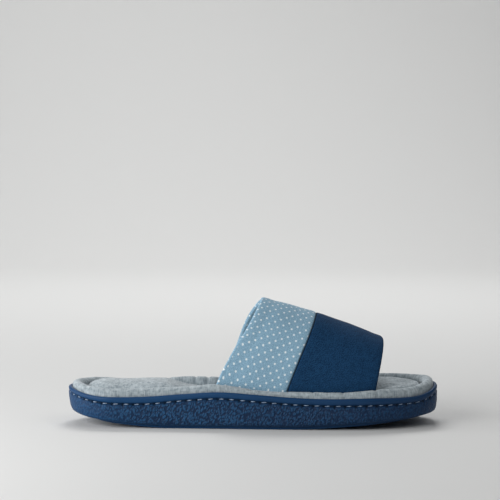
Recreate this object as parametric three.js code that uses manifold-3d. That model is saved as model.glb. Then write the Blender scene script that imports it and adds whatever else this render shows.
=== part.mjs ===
// Open-toe scuff slipper for a left foot: a moulded cup sole, a padded edge roll, a soft footbed and an arched upper.
// Millimetres. +X runs from heel to toe, +Y to the outer side of the foot and +Z up.
// The origin lies on the floor, under the middle of the sole's box.

import * as THREE from "three";
import { mergeVertices } from "three/addons/utils/BufferGeometryUtils.js";
import Module from "manifold-3d";

const wasm = await Module();
wasm.setup();

// Clearance between touching pieces
const GAP = 0.3;

// Sole
const SOLE_LENGTH = 265;
const BALL_WIDTH = 100;
const SIDE_HEIGHT = 21.9;
const FLOOR_THICKNESS = 12.5;
const TOE_SPRING = 8.6;
const HEEL_LIFT = 8;
const TOE_BREAK = 0.62;
const HEEL_BREAK = 0.27;
const TOE_CURVE = 1.25;
const HEEL_CURVE = 1.35;
const LIP_THICKNESS = 2.4;
const BEAD_HEIGHT = 4.3;
const GROOVE_WIDTH = 1.2;
const GROOVE_DEPTH = 1;
const EDGE_ROUNDING = 4.5;

// Tread under the sole
const TREAD_DEPTH = 1.1;
const TREAD_WIDTH = 2.2;
const TREAD_PITCH = 11;
const TREAD_MARGIN = 13;
const TREAD_WAVE = 3;
const TREAD_BENDS = 8;
const WAIST_RECESS = 1.2;
const CUTTER_REACH = 5;

// Edge roll and footbed
const ROLL_WIDTH = 8;
const ROLL_HEIGHT = 6.6;
const ROLL_SQUEEZED = 3.2;
const ROLL_RECOVERY = 6;
const FOOTBED_RISE = 2;
const FOOTBED_CROWN = 5.6;
const FOOTBED_ROUNDING = 1.2;
const PILLOW_EDGE = 15;

// Upper
const INSTEP_HEIGHT = 90.3;
const TOE_OPENING_HEIGHT = 61.1;
const TOP_BULGE = 1.8;
const UPPER_WALL = 3.4;
const UPPER_MARGIN_WALL = 2.2;
const FULL_WALL_FROM = 0.33;
const BAND_LENGTH_BASE = 113.2;
const BAND_LENGTH_TOP = 87.5;
const BAND_FRONT = 0.8245;
const BAND_OVERHANG = 8;
const LATERAL_BACK_STEP = 4.2;
const BACK_EDGE_BULGE = 3.6;
const LATERAL_FRONT_STEP = -8;
const PANEL_SEAM = 0.447;
const SEAM_DEPTH = 0.5;
const SEAM_HALF_WIDTH = 1.05;
const HEM_WIDTH = 4.5;

// How finely the pieces are faceted
const STATIONS = 48;
const SOLE_COLUMNS = 4;
const FOOTBED_COLUMNS = 10;
const ARCH_COLUMNS = 28;
const LEG_COLUMNS = 2;
const WAIST_STEPS = 6;

// Vertices this close are one
const WELD = 1e-4;
// How far the middle of a rounding lies from its two faces, as a share of its radius
const ROUND_MIDDLE = 0.3;

// Plan of the sole. at: share of the length from the heel. middle and half: where the middle of the width lies
// and half the width, as shares of half the ball width, before the two ends are rounded off.
const PLAN = [
  { at: 0.0, middle: -0.1, half: 0.68 },
  { at: 0.14, middle: -0.1, half: 0.7 },
  { at: 0.28, middle: -0.115, half: 0.705 },
  { at: 0.4, middle: -0.13, half: 0.735 },
  { at: 0.52, middle: -0.09, half: 0.83 },
  { at: 0.64, middle: -0.01, half: 0.955 },
  { at: 0.72, middle: -0.01, half: 0.985 },
  { at: 0.8, middle: -0.04, half: 0.965 },
  { at: 0.88, middle: -0.065, half: 0.9 },
  { at: 1.0, middle: -0.09, half: 0.83 },
];
const HEEL_ROUND = { share: 0.132, power: 2 };
const TOE_ROUND = { share: 0.24, power: 2.6 };

// Top of the sole's side, as a share of SIDE_HEIGHT, on the inner and the outer side of the foot. bead: height of
// the bead over the stitch groove, as a share of BEAD_HEIGHT. groove: how deep the groove is cut.
const SIDE = [
  { at: 0.0, medial: 1.217, lateral: 1.217, bead: 0.66, groove: 0.4 },
  { at: 0.04, medial: 1.103, lateral: 1.103, bead: 0.7, groove: 0.7 },
  { at: 0.08, medial: 1.036, lateral: 1.03, bead: 0.82, groove: 1 },
  { at: 0.13, medial: 1.014, lateral: 0.982, bead: 0.95, groove: 1 },
  { at: 0.22, medial: 1.037, lateral: 0.982, bead: 1.08, groove: 1 },
  { at: 0.32, medial: 1.131, lateral: 1.009, bead: 0.97, groove: 1 },
  { at: 0.41, medial: 1.192, lateral: 1.036, bead: 0.95, groove: 1 },
  { at: 0.51, medial: 1.121, lateral: 1.027, bead: 1.0, groove: 1 },
  { at: 0.61, medial: 1.036, lateral: 1.009, bead: 1.0, groove: 1 },
  { at: 0.7, medial: 1.009, lateral: 1.0, bead: 1.03, groove: 1 },
  { at: 0.82, medial: 1.037, lateral: 1.0, bead: 1.1, groove: 1 },
  { at: 0.9, medial: 1.027, lateral: 1.018, bead: 0.95, groove: 0.9 },
  { at: 0.945, medial: 1.054, lateral: 1.054, bead: 0.9, groove: 0.7 },
  { at: 0.975, medial: 1.143, lateral: 1.143, bead: 0.85, groove: 0.5 },
  { at: 1.0, medial: 1.286, lateral: 1.286, bead: 0.75, groove: 0.3 },
];

// Padding round the foot. medial and lateral: crest of the free edge roll over the sole's side, as a share of
// ROLL_HEIGHT. pressed: its crest beside the upper, as a share of ROLL_SQUEEZED. bed: level of the footbed's edge,
// as a share of SIDE_HEIGHT. crown: how far the footbed rises inside its edge, as a share of FOOTBED_CROWN.
const PADDING = [
  { at: 0.0, medial: 0.55, lateral: 0.55, pressed: 1.6, bed: 1.1, crown: 0.95 },
  { at: 0.06, medial: 0.8, lateral: 0.9, pressed: 1.6, bed: 1.09, crown: 1.1 },
  { at: 0.15, medial: 0.8, lateral: 0.95, pressed: 1.6, bed: 1.0, crown: 1.1 },
  { at: 0.26, medial: 0.78, lateral: 0.98, pressed: 1.6, bed: 0.99, crown: 1.1 },
  { at: 0.33, medial: 0.68, lateral: 1.05, pressed: 1.6, bed: 0.95, crown: 0.3 },
  { at: 0.4, medial: 0.8, lateral: 0.93, pressed: 1.6, bed: 0.94, crown: -0.15 },
  { at: 0.46, medial: 0.8, lateral: 0.93, pressed: 1.18, bed: 0.95, crown: -0.1 },
  { at: 0.53, medial: 0.8, lateral: 0.95, pressed: 0.85, bed: 0.97, crown: -0.05 },
  { at: 0.64, medial: 0.85, lateral: 1.0, pressed: 1.25, bed: 1.0, crown: 0 },
  { at: 0.76, medial: 0.88, lateral: 1.08, pressed: 1.3, bed: 1.08, crown: 0.1 },
  { at: 0.83, medial: 0.85, lateral: 1.15, pressed: 1.6, bed: 1.15, crown: 0.15 },
  { at: 0.9, medial: 0.88, lateral: 1.22, pressed: 1.6, bed: 1.22, crown: 0.15 },
  { at: 0.94, medial: 0.9, lateral: 1.2, pressed: 1.6, bed: 1.25, crown: 0.1 },
  { at: 1.0, medial: 0.62, lateral: 0.62, pressed: 1.6, bed: 1.25, crown: 0 },
];

// Underside and wall of the sole, from the tread to the groove. inset and rise are shares of EDGE_ROUNDING. The
// tread stands a little inside the wall, under a ledge.
const EDGE_SECTION = [
  { inset: 0.8, rise: 0, ledge: 1 },
  { inset: 0.72, rise: 0.42, ledge: 1 },
  { inset: 0.24, rise: 0.5, ledge: 1 },
  { inset: 0.08, rise: 0.85, ledge: 0 },
  { inset: 0, rise: 1.4, ledge: 0 },
];
// How much more the underside's edge is rounded at the two ends than along the sides. drawn: inwards. more: upwards.
// ledge: how high the wall ends over the tread there.
const EDGE_SWELL = [
  { at: 0.0, drawn: 3.4, more: 2.2, ledge: 0.5 },
  { at: 0.05, drawn: 2.3, more: 1.8, ledge: 0.5 },
  { at: 0.1, drawn: 1.6, more: 1.5, ledge: 0.65 },
  { at: 0.24, drawn: 1.0, more: 1.0, ledge: 1.0 },
  { at: 0.78, drawn: 1.0, more: 1.0, ledge: 1.0 },
  { at: 0.9, drawn: 1.2, more: 1.15, ledge: 0.6 },
  { at: 1.0, drawn: 1.8, more: 1.5, ledge: 0.5 },
];

// Stretches of the underside that carry tread, and the recess under the waist, as shares of the length.
const TREAD_ZONES = [
  { from: 0.08, to: 0.26 },
  { from: 0.56, to: 0.9 },
];
const WAIST = { from: 0.347, to: 0.468 };

// Bead over the stitch groove. drop: share of BEAD_HEIGHT under the top. inset: share of LIP_THICKNESS.
const BEAD_SECTION = [
  { drop: 0.86, inset: 0.06 },
  { drop: 0.55, inset: 0 },
  { drop: 0.22, inset: 0.06 },
  { drop: 0.02, inset: 0.35 },
  { drop: 0.02, inset: 0.78 },
  { drop: 0.2, inset: 1 },
];

// Section of the edge roll above the sole's side. across: share of ROLL_WIDTH from its outer face.
// up: share of the crest's height.
const ROLL_SECTION = [
  { across: 0, up: -0.06 },
  { across: 0.03, up: 0.42 },
  { across: 0.16, up: 0.8 },
  { across: 0.42, up: 1 },
  { across: 0.7, up: 0.86 },
  { across: 0.92, up: 0.45 },
  { across: 1, up: -0.06 },
];

// Rows of the upper from its back edge to its front edge, as shares of its length. dent: share of SEAM_DEPTH.
// wall: how far the outer and the inner face have drawn together, as a share of the wall.
const hem = HEM_WIDTH / BAND_LENGTH_TOP;
const seamHalf = SEAM_HALF_WIDTH / BAND_LENGTH_TOP;
const UPPER_ROWS = [
  { at: 0, wall: 0.36, dent: 0 },
  { at: 0.2 * hem, wall: 0.1, dent: 0 },
  { at: 0.45 * hem, wall: 0, dent: 0 },
  { at: 0.85 * hem, wall: 0, dent: 0.2 },
  { at: hem, wall: 0, dent: 0.8 },
  { at: 1.25 * hem, wall: 0, dent: 0 },
  { at: 0.17, wall: 0, dent: 0 },
  { at: 0.3, wall: 0, dent: 0 },
  { at: PANEL_SEAM - seamHalf, wall: 0, dent: 0 },
  { at: PANEL_SEAM, wall: 0, dent: 1 },
  { at: PANEL_SEAM + seamHalf, wall: 0, dent: 0.2 },
  { at: 0.6, wall: 0, dent: 0 },
  { at: 0.74, wall: 0, dent: 0 },
  { at: 0.88, wall: 0, dent: 0 },
  { at: 1 - 0.45 * hem, wall: 0, dent: 0 },
  { at: 1 - 0.2 * hem, wall: 0.1, dent: 0 },
  { at: 1, wall: 0.36, dent: 0 },
];

// Arch of the upper. top: how much of the rise from the toe opening to the instep is left at that place.
// ridge: how far the crest lies from the middle, as a share of half the width.
// medial and lateral: fullness of each shoulder, where 2 is an ellipse.
const ARCH = [
  { at: 0, top: 1, ridge: -0.06, medial: 2.3, lateral: 2.25 },
  { at: 0.45, top: 0.55, ridge: -0.1, medial: 2.4, lateral: 2.25 },
  { at: 1, top: 0, ridge: -0.14, medial: 2.5, lateral: 2.3 },
];
// Back edge of the upper. at: share of its rise from foot to crest. medial and lateral: how far it stands back from
// a straight edge, as a share of BACK_EDGE_BULGE.
const BACK_EDGE = [
  { at: 0, medial: 0, lateral: 0 },
  { at: 0.15, medial: 0.3, lateral: 0.08 },
  { at: 0.3, medial: 0.38, lateral: 0.28 },
  { at: 0.5, medial: 0.3, lateral: 0.71 },
  { at: 0.7, medial: 0, lateral: 1 },
  { at: 0.85, medial: 0, lateral: 0.77 },
  { at: 1, medial: 0, lateral: 0 },
];

// Reads a column of a table between its rows, on a smooth curve through them.
function along(rows, column, at) {
  let i = 0;
  while (i < rows.length - 2 && rows[i + 1].at < at) i++;
  const slope = (j) => {
    const before = rows[Math.max(j - 1, 0)];
    const after = rows[Math.min(j + 1, rows.length - 1)];
    return (after[column] - before[column]) / (after.at - before.at);
  };
  const width = rows[i + 1].at - rows[i].at;
  const f = THREE.MathUtils.clamp((at - rows[i].at) / width, 0, 1);
  const ends = rows[i][column] * (1 + 2 * f) * (1 - f) ** 2 + rows[i + 1][column] * (3 - 2 * f) * f ** 2;
  return ends + width * (slope(i) * f * (1 - f) ** 2 - slope(i + 1) * (1 - f) * f ** 2);
}

// The place along X of a share of the length.
const placeOf = (at) => (at - 0.5) * SOLE_LENGTH;

// The sole's outline

function roundedEnds(at) {
  const heel = Math.max(1 - at / HEEL_ROUND.share, 0);
  const toe = Math.max(1 - (1 - at) / TOE_ROUND.share, 0);
  const heelShare = (1 - heel ** HEEL_ROUND.power) ** (1 / HEEL_ROUND.power);
  const toeShare = (1 - toe ** TOE_ROUND.power) ** (1 / TOE_ROUND.power);
  return heelShare * toeShare;
}

function planShare(at, side) {
  return along(PLAN, "middle", at) + side * along(PLAN, "half", at) * roundedEnds(at);
}

// Points round the outline: heel, inner side, toe, outer side. side is -1 on the inner side of the foot.
function makeOutline() {
  const points = [];
  for (let i = 0; i < 2 * STATIONS; i++) {
    const station = i <= STATIONS ? i : 2 * STATIONS - i;
    const side = i <= STATIONS ? -1 : 1;
    const at = (1 - Math.cos((Math.PI * station) / STATIONS)) / 2;
    points.push({ at, side, x: placeOf(at), y: planShare(at, side) });
  }
  const low = Math.min(...points.map((p) => p.y));
  const high = Math.max(...points.map((p) => p.y));
  for (const p of points) p.y = ((p.y - (low + high) / 2) * BALL_WIDTH) / (high - low);
  points.forEach((p, i) => {
    const before = points[(i + points.length - 1) % points.length];
    const after = points[(i + 1) % points.length];
    p.out = new THREE.Vector2(after.y - before.y, before.x - after.x).normalize();
  });
  return points;
}

const OUTLINE = makeOutline();

// Where the edge roll, the footbed and the upper's foot stand inside the outline
const ROLL_OUTER = LIP_THICKNESS + GAP;
const FOOTBED_INSET = ROLL_OUTER + ROLL_WIDTH + GAP;
const UPPER_INSET = FOOTBED_INSET - GAP - UPPER_MARGIN_WALL;

// A ring that follows the outline. inset and height are numbers, or functions of a point of the outline.
function ring(inset, height) {
  const value = (v, p) => (typeof v === "function" ? v(p) : v);
  return OUTLINE.map((p) => {
    const d = value(inset, p);
    return new THREE.Vector3(p.x - p.out.x * d, p.y - p.out.y * d, value(height, p));
  });
}

const underside = (at) => {
  const toe = Math.max((at - TOE_BREAK) / (1 - TOE_BREAK), 0);
  const heel = Math.max((HEEL_BREAK - at) / HEEL_BREAK, 0);
  return TOE_SPRING * toe ** TOE_CURVE + HEEL_LIFT * heel ** HEEL_CURVE;
};
const sideOf = (p) => (p.side < 0 ? "medial" : "lateral");
const lipTop = (p) => SIDE_HEIGHT * along(SIDE, sideOf(p), p.at);
const cupFloor = (p) => underside(p.at) + FLOOR_THICKNESS;

// Closed surfaces

// Skins rings of equal length in order, and closes the two ends with the faces that caps gives.
function skin(rings, { looped = false, caps = [] } = {}) {
  const size = rings[0].length;
  const vertices = rings.flat();
  const faces = [];
  const quad = (a, b, c, d) => {
    if (a !== b && b !== c && a !== c) faces.push(a, b, c);
    if (a !== c && c !== d && a !== d) faces.push(a, c, d);
  };
  const bands = looped ? rings.length : rings.length - 1;
  for (let r = 0; r < bands; r++) {
    const next = (r + 1) % rings.length;
    for (let j = 0; j < size; j++) {
      const k = (j + 1) % size;
      quad(r * size + j, r * size + k, next * size + k, next * size + j);
    }
  }
  for (const cap of caps) cap({ rings, size, vertices, quad });
  const geometry = new THREE.BufferGeometry();
  geometry.setAttribute("position", new THREE.Float32BufferAttribute(vertices.flatMap((v) => v.toArray()), 3));
  geometry.setIndex(faces);
  return geometry;
}

// Fills a ring of the outline with ribs across the foot. height gives the level of a point between the edges.
function ribs(which, columns, faceUp, height = (point) => point.z) {
  return ({ size, vertices, quad }) => {
    const first = which * size;
    const grid = [];
    for (let k = 0; k <= STATIONS; k++) {
      const a = first + k;
      const b = first + ((size - k) % size);
      const row = [a];
      for (let c = 1; c < columns; c++) {
        if (a === b) {
          row.push(a);
          continue;
        }
        const point = vertices[a].clone().lerp(vertices[b], c / columns);
        point.z = height(point);
        row.push(vertices.push(point) - 1);
      }
      grid.push([...row, b]);
    }
    for (let k = 0; k < STATIONS; k++) {
      for (let c = 0; c < columns; c++) {
        const corners = [grid[k][c], grid[k + 1][c], grid[k + 1][c + 1], grid[k][c + 1]];
        quad(...(faceUp ? corners : corners.reverse()));
      }
    }
  };
}

function toManifold(geometry) {
  const bare = new THREE.BufferGeometry();
  bare.setAttribute("position", geometry.getAttribute("position"));
  bare.setIndex(geometry.index);
  const merged = mergeVertices(bare, WELD);
  const mesh = new wasm.Mesh({
    numProp: 3,
    vertProperties: new Float32Array(merged.attributes.position.array),
    triVerts: new Uint32Array(merged.index.array),
  });
  return new wasm.Manifold(mesh);
}

function fromManifold(solid) {
  const mesh = solid.getMesh();
  const geometry = new THREE.BufferGeometry();
  geometry.setAttribute("position", new THREE.BufferAttribute(new Float32Array(mesh.vertProperties), 3));
  geometry.setIndex(new THREE.BufferAttribute(new Uint32Array(mesh.triVerts), 1));
  return geometry;
}

// Where a line inside the outline lies at a given x, on one side of the foot.
function edgeAt(side, inset, x) {
  const points = ring(inset, 0).filter((_, i) => (side < 0 ? i <= STATIONS : i >= STATIONS || i === 0));
  points.sort((a, b) => a.x - b.x);
  let i = 0;
  while (i < points.length - 2 && points[i + 1].x < x) i++;
  const f = (x - points[i].x) / (points[i + 1].x - points[i].x);
  return THREE.MathUtils.lerp(points[i].y, points[i + 1].y, THREE.MathUtils.clamp(f, 0, 1));
}

// Outsole

// One wavy groove across the tread.
function treadGroove(at) {
  const x = placeOf(at);
  const from = edgeAt(-1, TREAD_MARGIN, x);
  const to = edgeAt(1, TREAD_MARGIN, x);
  const line = (shift) => {
    const points = [];
    for (let i = 0; i <= TREAD_BENDS; i++) {
      const wave = (i % 2 ? 1 : -1) * (TREAD_WAVE / 2);
      points.push(new THREE.Vector2(x + wave + shift, THREE.MathUtils.lerp(from, to, i / TREAD_BENDS)));
    }
    return points;
  };
  const shape = new THREE.Shape([...line(TREAD_WIDTH / 2), ...line(-TREAD_WIDTH / 2).reverse()]);
  const depth = TREAD_DEPTH + CUTTER_REACH;
  const groove = new THREE.ExtrudeGeometry(shape, { depth, bevelEnabled: false });
  return groove.translate(0, 0, underside(at) + TREAD_DEPTH - depth);
}

// The recess under the waist of the foot, between the tread of the heel and the tread of the ball.
function waistRecess() {
  const side = (which) => {
    const points = [];
    for (let i = 0; i <= WAIST_STEPS; i++) {
      const x = placeOf(THREE.MathUtils.lerp(WAIST.from, WAIST.to, i / WAIST_STEPS));
      points.push(new THREE.Vector2(x, edgeAt(which, TREAD_MARGIN, x)));
    }
    return points;
  };
  const shape = new THREE.Shape([...side(-1), ...side(1).reverse()]);
  const depth = WAIST_RECESS + CUTTER_REACH;
  const recess = new THREE.ExtrudeGeometry(shape, { depth, bevelEnabled: false });
  return recess.translate(0, 0, WAIST_RECESS - depth);
}

function makeOutsole() {
  const swell = (p, column) => EDGE_ROUNDING * along(EDGE_SWELL, column, p.at);
  const edge = EDGE_SECTION.map((s) =>
    ring(
      (p) => swell(p, "drawn") * s.inset,
      (p) => underside(p.at) + swell(p, s.ledge ? "ledge" : "more") * s.rise,
    ),
  );
  const bead = (p) => BEAD_HEIGHT * along(SIDE, "bead", p.at);
  const grooveDepth = (p) => GROOVE_DEPTH * along(SIDE, "groove", p.at);
  const underBead = (share) => (p) => lipTop(p) - bead(p) - GROOVE_WIDTH * share;
  const groove = [ring(0, underBead(1)), ring(grooveDepth, underBead(0.7)), ring(grooveDepth, underBead(0.3))];
  const lip = BEAD_SECTION.map((s) => ring(LIP_THICKNESS * s.inset, (p) => lipTop(p) - bead(p) * s.drop));
  const floor = ring(LIP_THICKNESS, cupFloor);
  const rings = [...edge, ...groove, ...lip, floor];
  const body = skin(rings, {
    caps: [ribs(0, SOLE_COLUMNS, false), ribs(rings.length - 1, SOLE_COLUMNS, true)],
  });
  let solid = toManifold(body).subtract(toManifold(waistRecess()));
  for (const zone of TREAD_ZONES) {
    for (let at = zone.from; at < zone.to; at += TREAD_PITCH / SOLE_LENGTH) {
      solid = solid.subtract(toManifold(treadGroove(at)));
    }
  }
  return fromManifold(solid);
}

// Upper

// Foot of the upper on one side, at a share of its length from the back edge.
function upperFoot(share, side) {
  const front = placeOf(BAND_FRONT) + (side > 0 ? LATERAL_FRONT_STEP : 0);
  const back = placeOf(BAND_FRONT) - BAND_LENGTH_BASE + (side > 0 ? LATERAL_BACK_STEP : 0);
  const x = THREE.MathUtils.lerp(back, front, share);
  const place = { at: x / SOLE_LENGTH + 0.5, side };
  return {
    x,
    y: edgeAt(side, UPPER_INSET, x),
    low: cupFloor(place) + GAP,
    spring: lipTop(place) + ROLL_SQUEEZED / 2,
    bulge: (up) => BACK_EDGE_BULGE * along(BACK_EDGE, sideOf(place), up) * (1 - share) ** 2,
  };
}

// A line of the upper from the inner foot over the arch to the outer foot: its points on the outer face.
function upperLine(share) {
  const feet = [upperFoot(share, -1), upperFoot(share, 1)];
  const top = {
    x: placeOf(BAND_FRONT) + BAND_OVERHANG - BAND_LENGTH_TOP * (1 - share),
    z: TOE_OPENING_HEIGHT + (INSTEP_HEIGHT - TOE_OPENING_HEIGHT) * along(ARCH, "top", share),
  };
  top.z += TOP_BULGE * Math.sin(Math.PI * share);
  const half = (feet[1].y - feet[0].y) / 2;
  top.y = (feet[0].y + feet[1].y) / 2 + half * along(ARCH, "ridge", share);
  const halfLine = (foot, fullness) => {
    const points = [];
    for (let i = 0; i < LEG_COLUMNS; i++) {
      const z = THREE.MathUtils.lerp(foot.low, foot.spring, i / LEG_COLUMNS);
      points.push({ up: 0, at: new THREE.Vector3(foot.x, foot.y, z) });
    }
    for (let i = 0; i <= ARCH_COLUMNS / 2; i++) {
      const angle = (Math.PI * i) / ARCH_COLUMNS;
      const across = Math.max(Math.cos(angle), 0) ** (2 / fullness);
      const up = Math.sin(angle) ** (2 / fullness);
      const x = THREE.MathUtils.lerp(foot.x, top.x, up) - foot.bulge(up);
      const y = THREE.MathUtils.lerp(top.y, foot.y, across);
      points.push({ up, at: new THREE.Vector3(x, y, THREE.MathUtils.lerp(foot.spring, top.z, up)) });
    }
    return points;
  };
  const medial = halfLine(feet[0], along(ARCH, "medial", share));
  const lateral = halfLine(feet[1], along(ARCH, "lateral", share));
  return [...medial, ...lateral.reverse().slice(1)];
}

// The upper's wall, grown on every side by slack. A grown copy leaves room for the real one.
function makeUpper(slack = 0) {
  const lines = UPPER_ROWS.map((row) => upperLine(row.at));
  const last = lines.length - 1;
  const columns = lines[0].length;
  const rings = [];
  for (let c = 0; c < columns; c++) {
    const outer = [];
    const inner = [];
    lines.forEach((line, r) => {
      const before = Math.max(c - 1, 0);
      const after = Math.min(c + 1, columns - 1);
      const across = line[after].at.clone().sub(line[before].at);
      const lengthwise = lines[Math.min(r + 1, last)][c].at.clone().sub(lines[Math.max(r - 1, 0)][c].at);
      const out = lengthwise.clone().cross(across).normalize();
      const full = Math.min(line[c].up / FULL_WALL_FROM, 1);
      const wall = THREE.MathUtils.lerp(UPPER_MARGIN_WALL, UPPER_WALL, full);
      const end = r === 0 ? -1 : r === last ? 1 : 0;
      const grown = line[c].at.clone().addScaledVector(lengthwise.normalize(), end * slack);
      if (c === 0 || c === columns - 1) grown.z -= slack;
      const { wall: drawn, dent } = UPPER_ROWS[r];
      const draw = slack ? 0 : drawn * wall;
      outer.push(grown.clone().addScaledVector(out, slack - draw - (slack ? 0 : dent * SEAM_DEPTH)));
      inner.push(grown.clone().addScaledVector(out, draw - wall - slack));
    });
    rings.push([...outer, ...inner.reverse()]);
  }
  const strip = (which, flip) => ({ size, quad }) => {
    const first = which * size;
    for (let i = 0; i < size / 2 - 1; i++) {
      const corners = [first + i, first + i + 1, first + size - 2 - i, first + size - 1 - i];
      quad(...(flip ? corners.reverse() : corners));
    }
  };
  return skin(rings, { caps: [strip(0, true), strip(rings.length - 1, false)] });
}

// Edge roll

// 1 where the upper's foot squeezes the roll, and 0 clear of it.
function squeeze(p) {
  const back = upperFoot(0, p.side).x;
  const front = upperFoot(1, p.side).x;
  const rise = THREE.MathUtils.smoothstep(p.x, back - ROLL_RECOVERY, back);
  return rise * (1 - THREE.MathUtils.smoothstep(p.x, front, front + ROLL_RECOVERY));
}

function rollCrest(p) {
  const free = ROLL_HEIGHT * along(PADDING, sideOf(p), p.at);
  return THREE.MathUtils.lerp(free, ROLL_SQUEEZED * along(PADDING, "pressed", p.at), squeeze(p));
}

function makeEdgeRoll() {
  const crest = new Map(OUTLINE.map((p) => [p, rollCrest(p)]));
  const inset = (s) => ROLL_OUTER + ROLL_WIDTH * s.across;
  const lower = (across) => ring(ROLL_OUTER + ROLL_WIDTH * across, (p) => cupFloor(p) + GAP);
  const upper = ROLL_SECTION.map((s) => ring(inset(s), (p) => lipTop(p) + crest.get(p) * s.up));
  const roll = toManifold(skin([lower(0), ...upper, lower(1)], { looped: true }));
  return fromManifold(roll.subtract(toManifold(makeUpper(GAP))));
}

// Footbed

function makeFootbed() {
  const edgeTop = (p) => SIDE_HEIGHT * along(PADDING, "bed", p.at) + FOOTBED_RISE;
  const rings = [
    ring(FOOTBED_INSET, (p) => cupFloor(p) + GAP),
    ring(FOOTBED_INSET, (p) => edgeTop(p) - FOOTBED_ROUNDING),
    ring(FOOTBED_INSET + ROUND_MIDDLE * FOOTBED_ROUNDING, (p) => edgeTop(p) - ROUND_MIDDLE * FOOTBED_ROUNDING),
    ring(FOOTBED_INSET + FOOTBED_ROUNDING, edgeTop),
  ];
  const rim = rings[3];
  const crowned = (point) => {
    const toEdge = Math.min(...rim.map((r) => Math.hypot(r.x - point.x, r.y - point.y)));
    const pillow = 1 - (1 - Math.min(toEdge / PILLOW_EDGE, 1)) ** 3;
    return point.z + FOOTBED_CROWN * along(PADDING, "crown", point.x / SOLE_LENGTH + 0.5) * pillow;
  };
  const pad = skin(rings, { caps: [ribs(0, SOLE_COLUMNS, false), ribs(3, FOOTBED_COLUMNS, true, crowned)] });
  return fromManifold(toManifold(pad).subtract(toManifold(makeUpper(GAP))));
}

// Assembly

function piece(name, geometry, color, roughness) {
  const material = new THREE.MeshStandardMaterial({ color, roughness, metalness: 0, flatShading: true });
  const mesh = new THREE.Mesh(geometry, material);
  mesh.name = name;
  return mesh;
}

const slipper = new THREE.Group();
slipper.add(piece("outsole", makeOutsole(), 0x22406a, 0.6));
slipper.add(piece("edge_roll", makeEdgeRoll(), 0x98a2a8, 0.95));
slipper.add(piece("footbed", makeFootbed(), 0xa0a9af, 0.95));
slipper.add(piece("upper", makeUpper(), 0x83a0b4, 0.9));

export default slipper;
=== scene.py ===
# Open-toe scuff slipper: a moulded rubber cup sole with a stitched lip, a padded edge roll and a footbed
# in grey marl jersey, and an arched upper of two cotton panels. Metres. +X runs from heel to toe, +Y to
# the outer side of the foot and +Z up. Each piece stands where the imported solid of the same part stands.

import math
from bisect import bisect_left
from types import SimpleNamespace

import bmesh
import bpy
from mathutils import Matrix, Vector, noise


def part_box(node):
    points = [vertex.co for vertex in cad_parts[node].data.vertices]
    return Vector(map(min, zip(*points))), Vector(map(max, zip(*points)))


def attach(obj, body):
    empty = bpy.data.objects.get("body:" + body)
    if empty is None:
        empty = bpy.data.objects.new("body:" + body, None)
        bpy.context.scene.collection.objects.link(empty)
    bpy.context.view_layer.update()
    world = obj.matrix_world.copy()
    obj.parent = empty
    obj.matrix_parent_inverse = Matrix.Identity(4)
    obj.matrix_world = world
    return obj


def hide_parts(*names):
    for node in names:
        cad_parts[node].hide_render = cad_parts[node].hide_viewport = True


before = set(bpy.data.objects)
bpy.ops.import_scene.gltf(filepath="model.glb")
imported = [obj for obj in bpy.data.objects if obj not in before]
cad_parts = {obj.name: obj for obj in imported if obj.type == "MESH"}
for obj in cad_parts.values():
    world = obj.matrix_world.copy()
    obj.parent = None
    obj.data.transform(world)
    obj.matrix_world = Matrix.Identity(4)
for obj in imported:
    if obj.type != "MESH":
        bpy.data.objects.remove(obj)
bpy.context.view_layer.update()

bl_info = {
    "name": "Open-toe scuff slipper",
    "version": (1, 0, 0),
    "blender": (4, 5, 0),
    "location": "View3D > Sidebar > Slipper",
    "description": "Makes a padded scuff slipper with a moulded sole around its packed frame",
    "category": "Add Mesh",
}

MM = 0.001
GAP = 0.3 * MM

SOLE_LOW, SOLE_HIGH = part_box("outsole")
SOLE_LENGTH = SOLE_HIGH.x - SOLE_LOW.x
BALL_WIDTH = SOLE_HIGH.y - SOLE_LOW.y

# Side of the sole and the lift of its ends
SIDE_HEIGHT = 21.9 * MM
FLOOR_THICKNESS = 12.5 * MM
TOE_SPRING = 8.6 * MM
HEEL_LIFT = 8 * MM
TOE_BREAK = 0.62
HEEL_BREAK = 0.27
TOE_CURVE = 1.25
HEEL_CURVE = 1.35

# Foot and arch of the upper
INSTEP_HEIGHT = 90.3 * MM
TOE_OPENING_HEIGHT = 61.1 * MM
TOP_BULGE = 1.8 * MM
FULL_WALL_FROM = 0.33
BAND_LENGTH_BASE = 113.2 * MM
BAND_LENGTH_TOP = 87.5 * MM
BAND_FRONT = 0.8245
BAND_OVERHANG = 8 * MM
LATERAL_BACK_STEP = 4.2 * MM
BACK_EDGE_BULGE = 3.6 * MM
LATERAL_FRONT_STEP = -8 * MM
PANEL_SEAM = 0.447

# Tread under the sole
TREAD_MARGIN = 13 * MM
TREAD_WAVE = 3 * MM
TREAD_BENDS = 8

# How finely the pieces are meshed
STATIONS = 640
UNDERSIDE_COLUMNS = 44
FLOOR_COLUMNS = 4
ARCH_COLUMNS = 176
LEG_COLUMNS = 6
OUTLINE_STATIONS = 48


def table(names, *rows):
    """Rows of values under named columns."""
    return [dict(zip(names.split(), row)) for row in rows]


# Plan of the sole. at: share of the length from the heel. middle and half: where the middle of the width
# lies and half the width, as shares of half the ball width, before the two ends are rounded off.
PLAN = table(
    "at middle half",
    (0.0, -0.1, 0.68),
    (0.14, -0.1, 0.7),
    (0.28, -0.115, 0.705),
    (0.4, -0.13, 0.735),
    (0.52, -0.09, 0.83),
    (0.64, -0.01, 0.955),
    (0.72, -0.01, 0.985),
    (0.8, -0.04, 0.965),
    (0.88, -0.065, 0.9),
    (1.0, -0.09, 0.83),
)
HEEL_ROUND = SimpleNamespace(share=0.132, power=2)
TOE_ROUND = SimpleNamespace(share=0.24, power=2.6)

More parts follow.
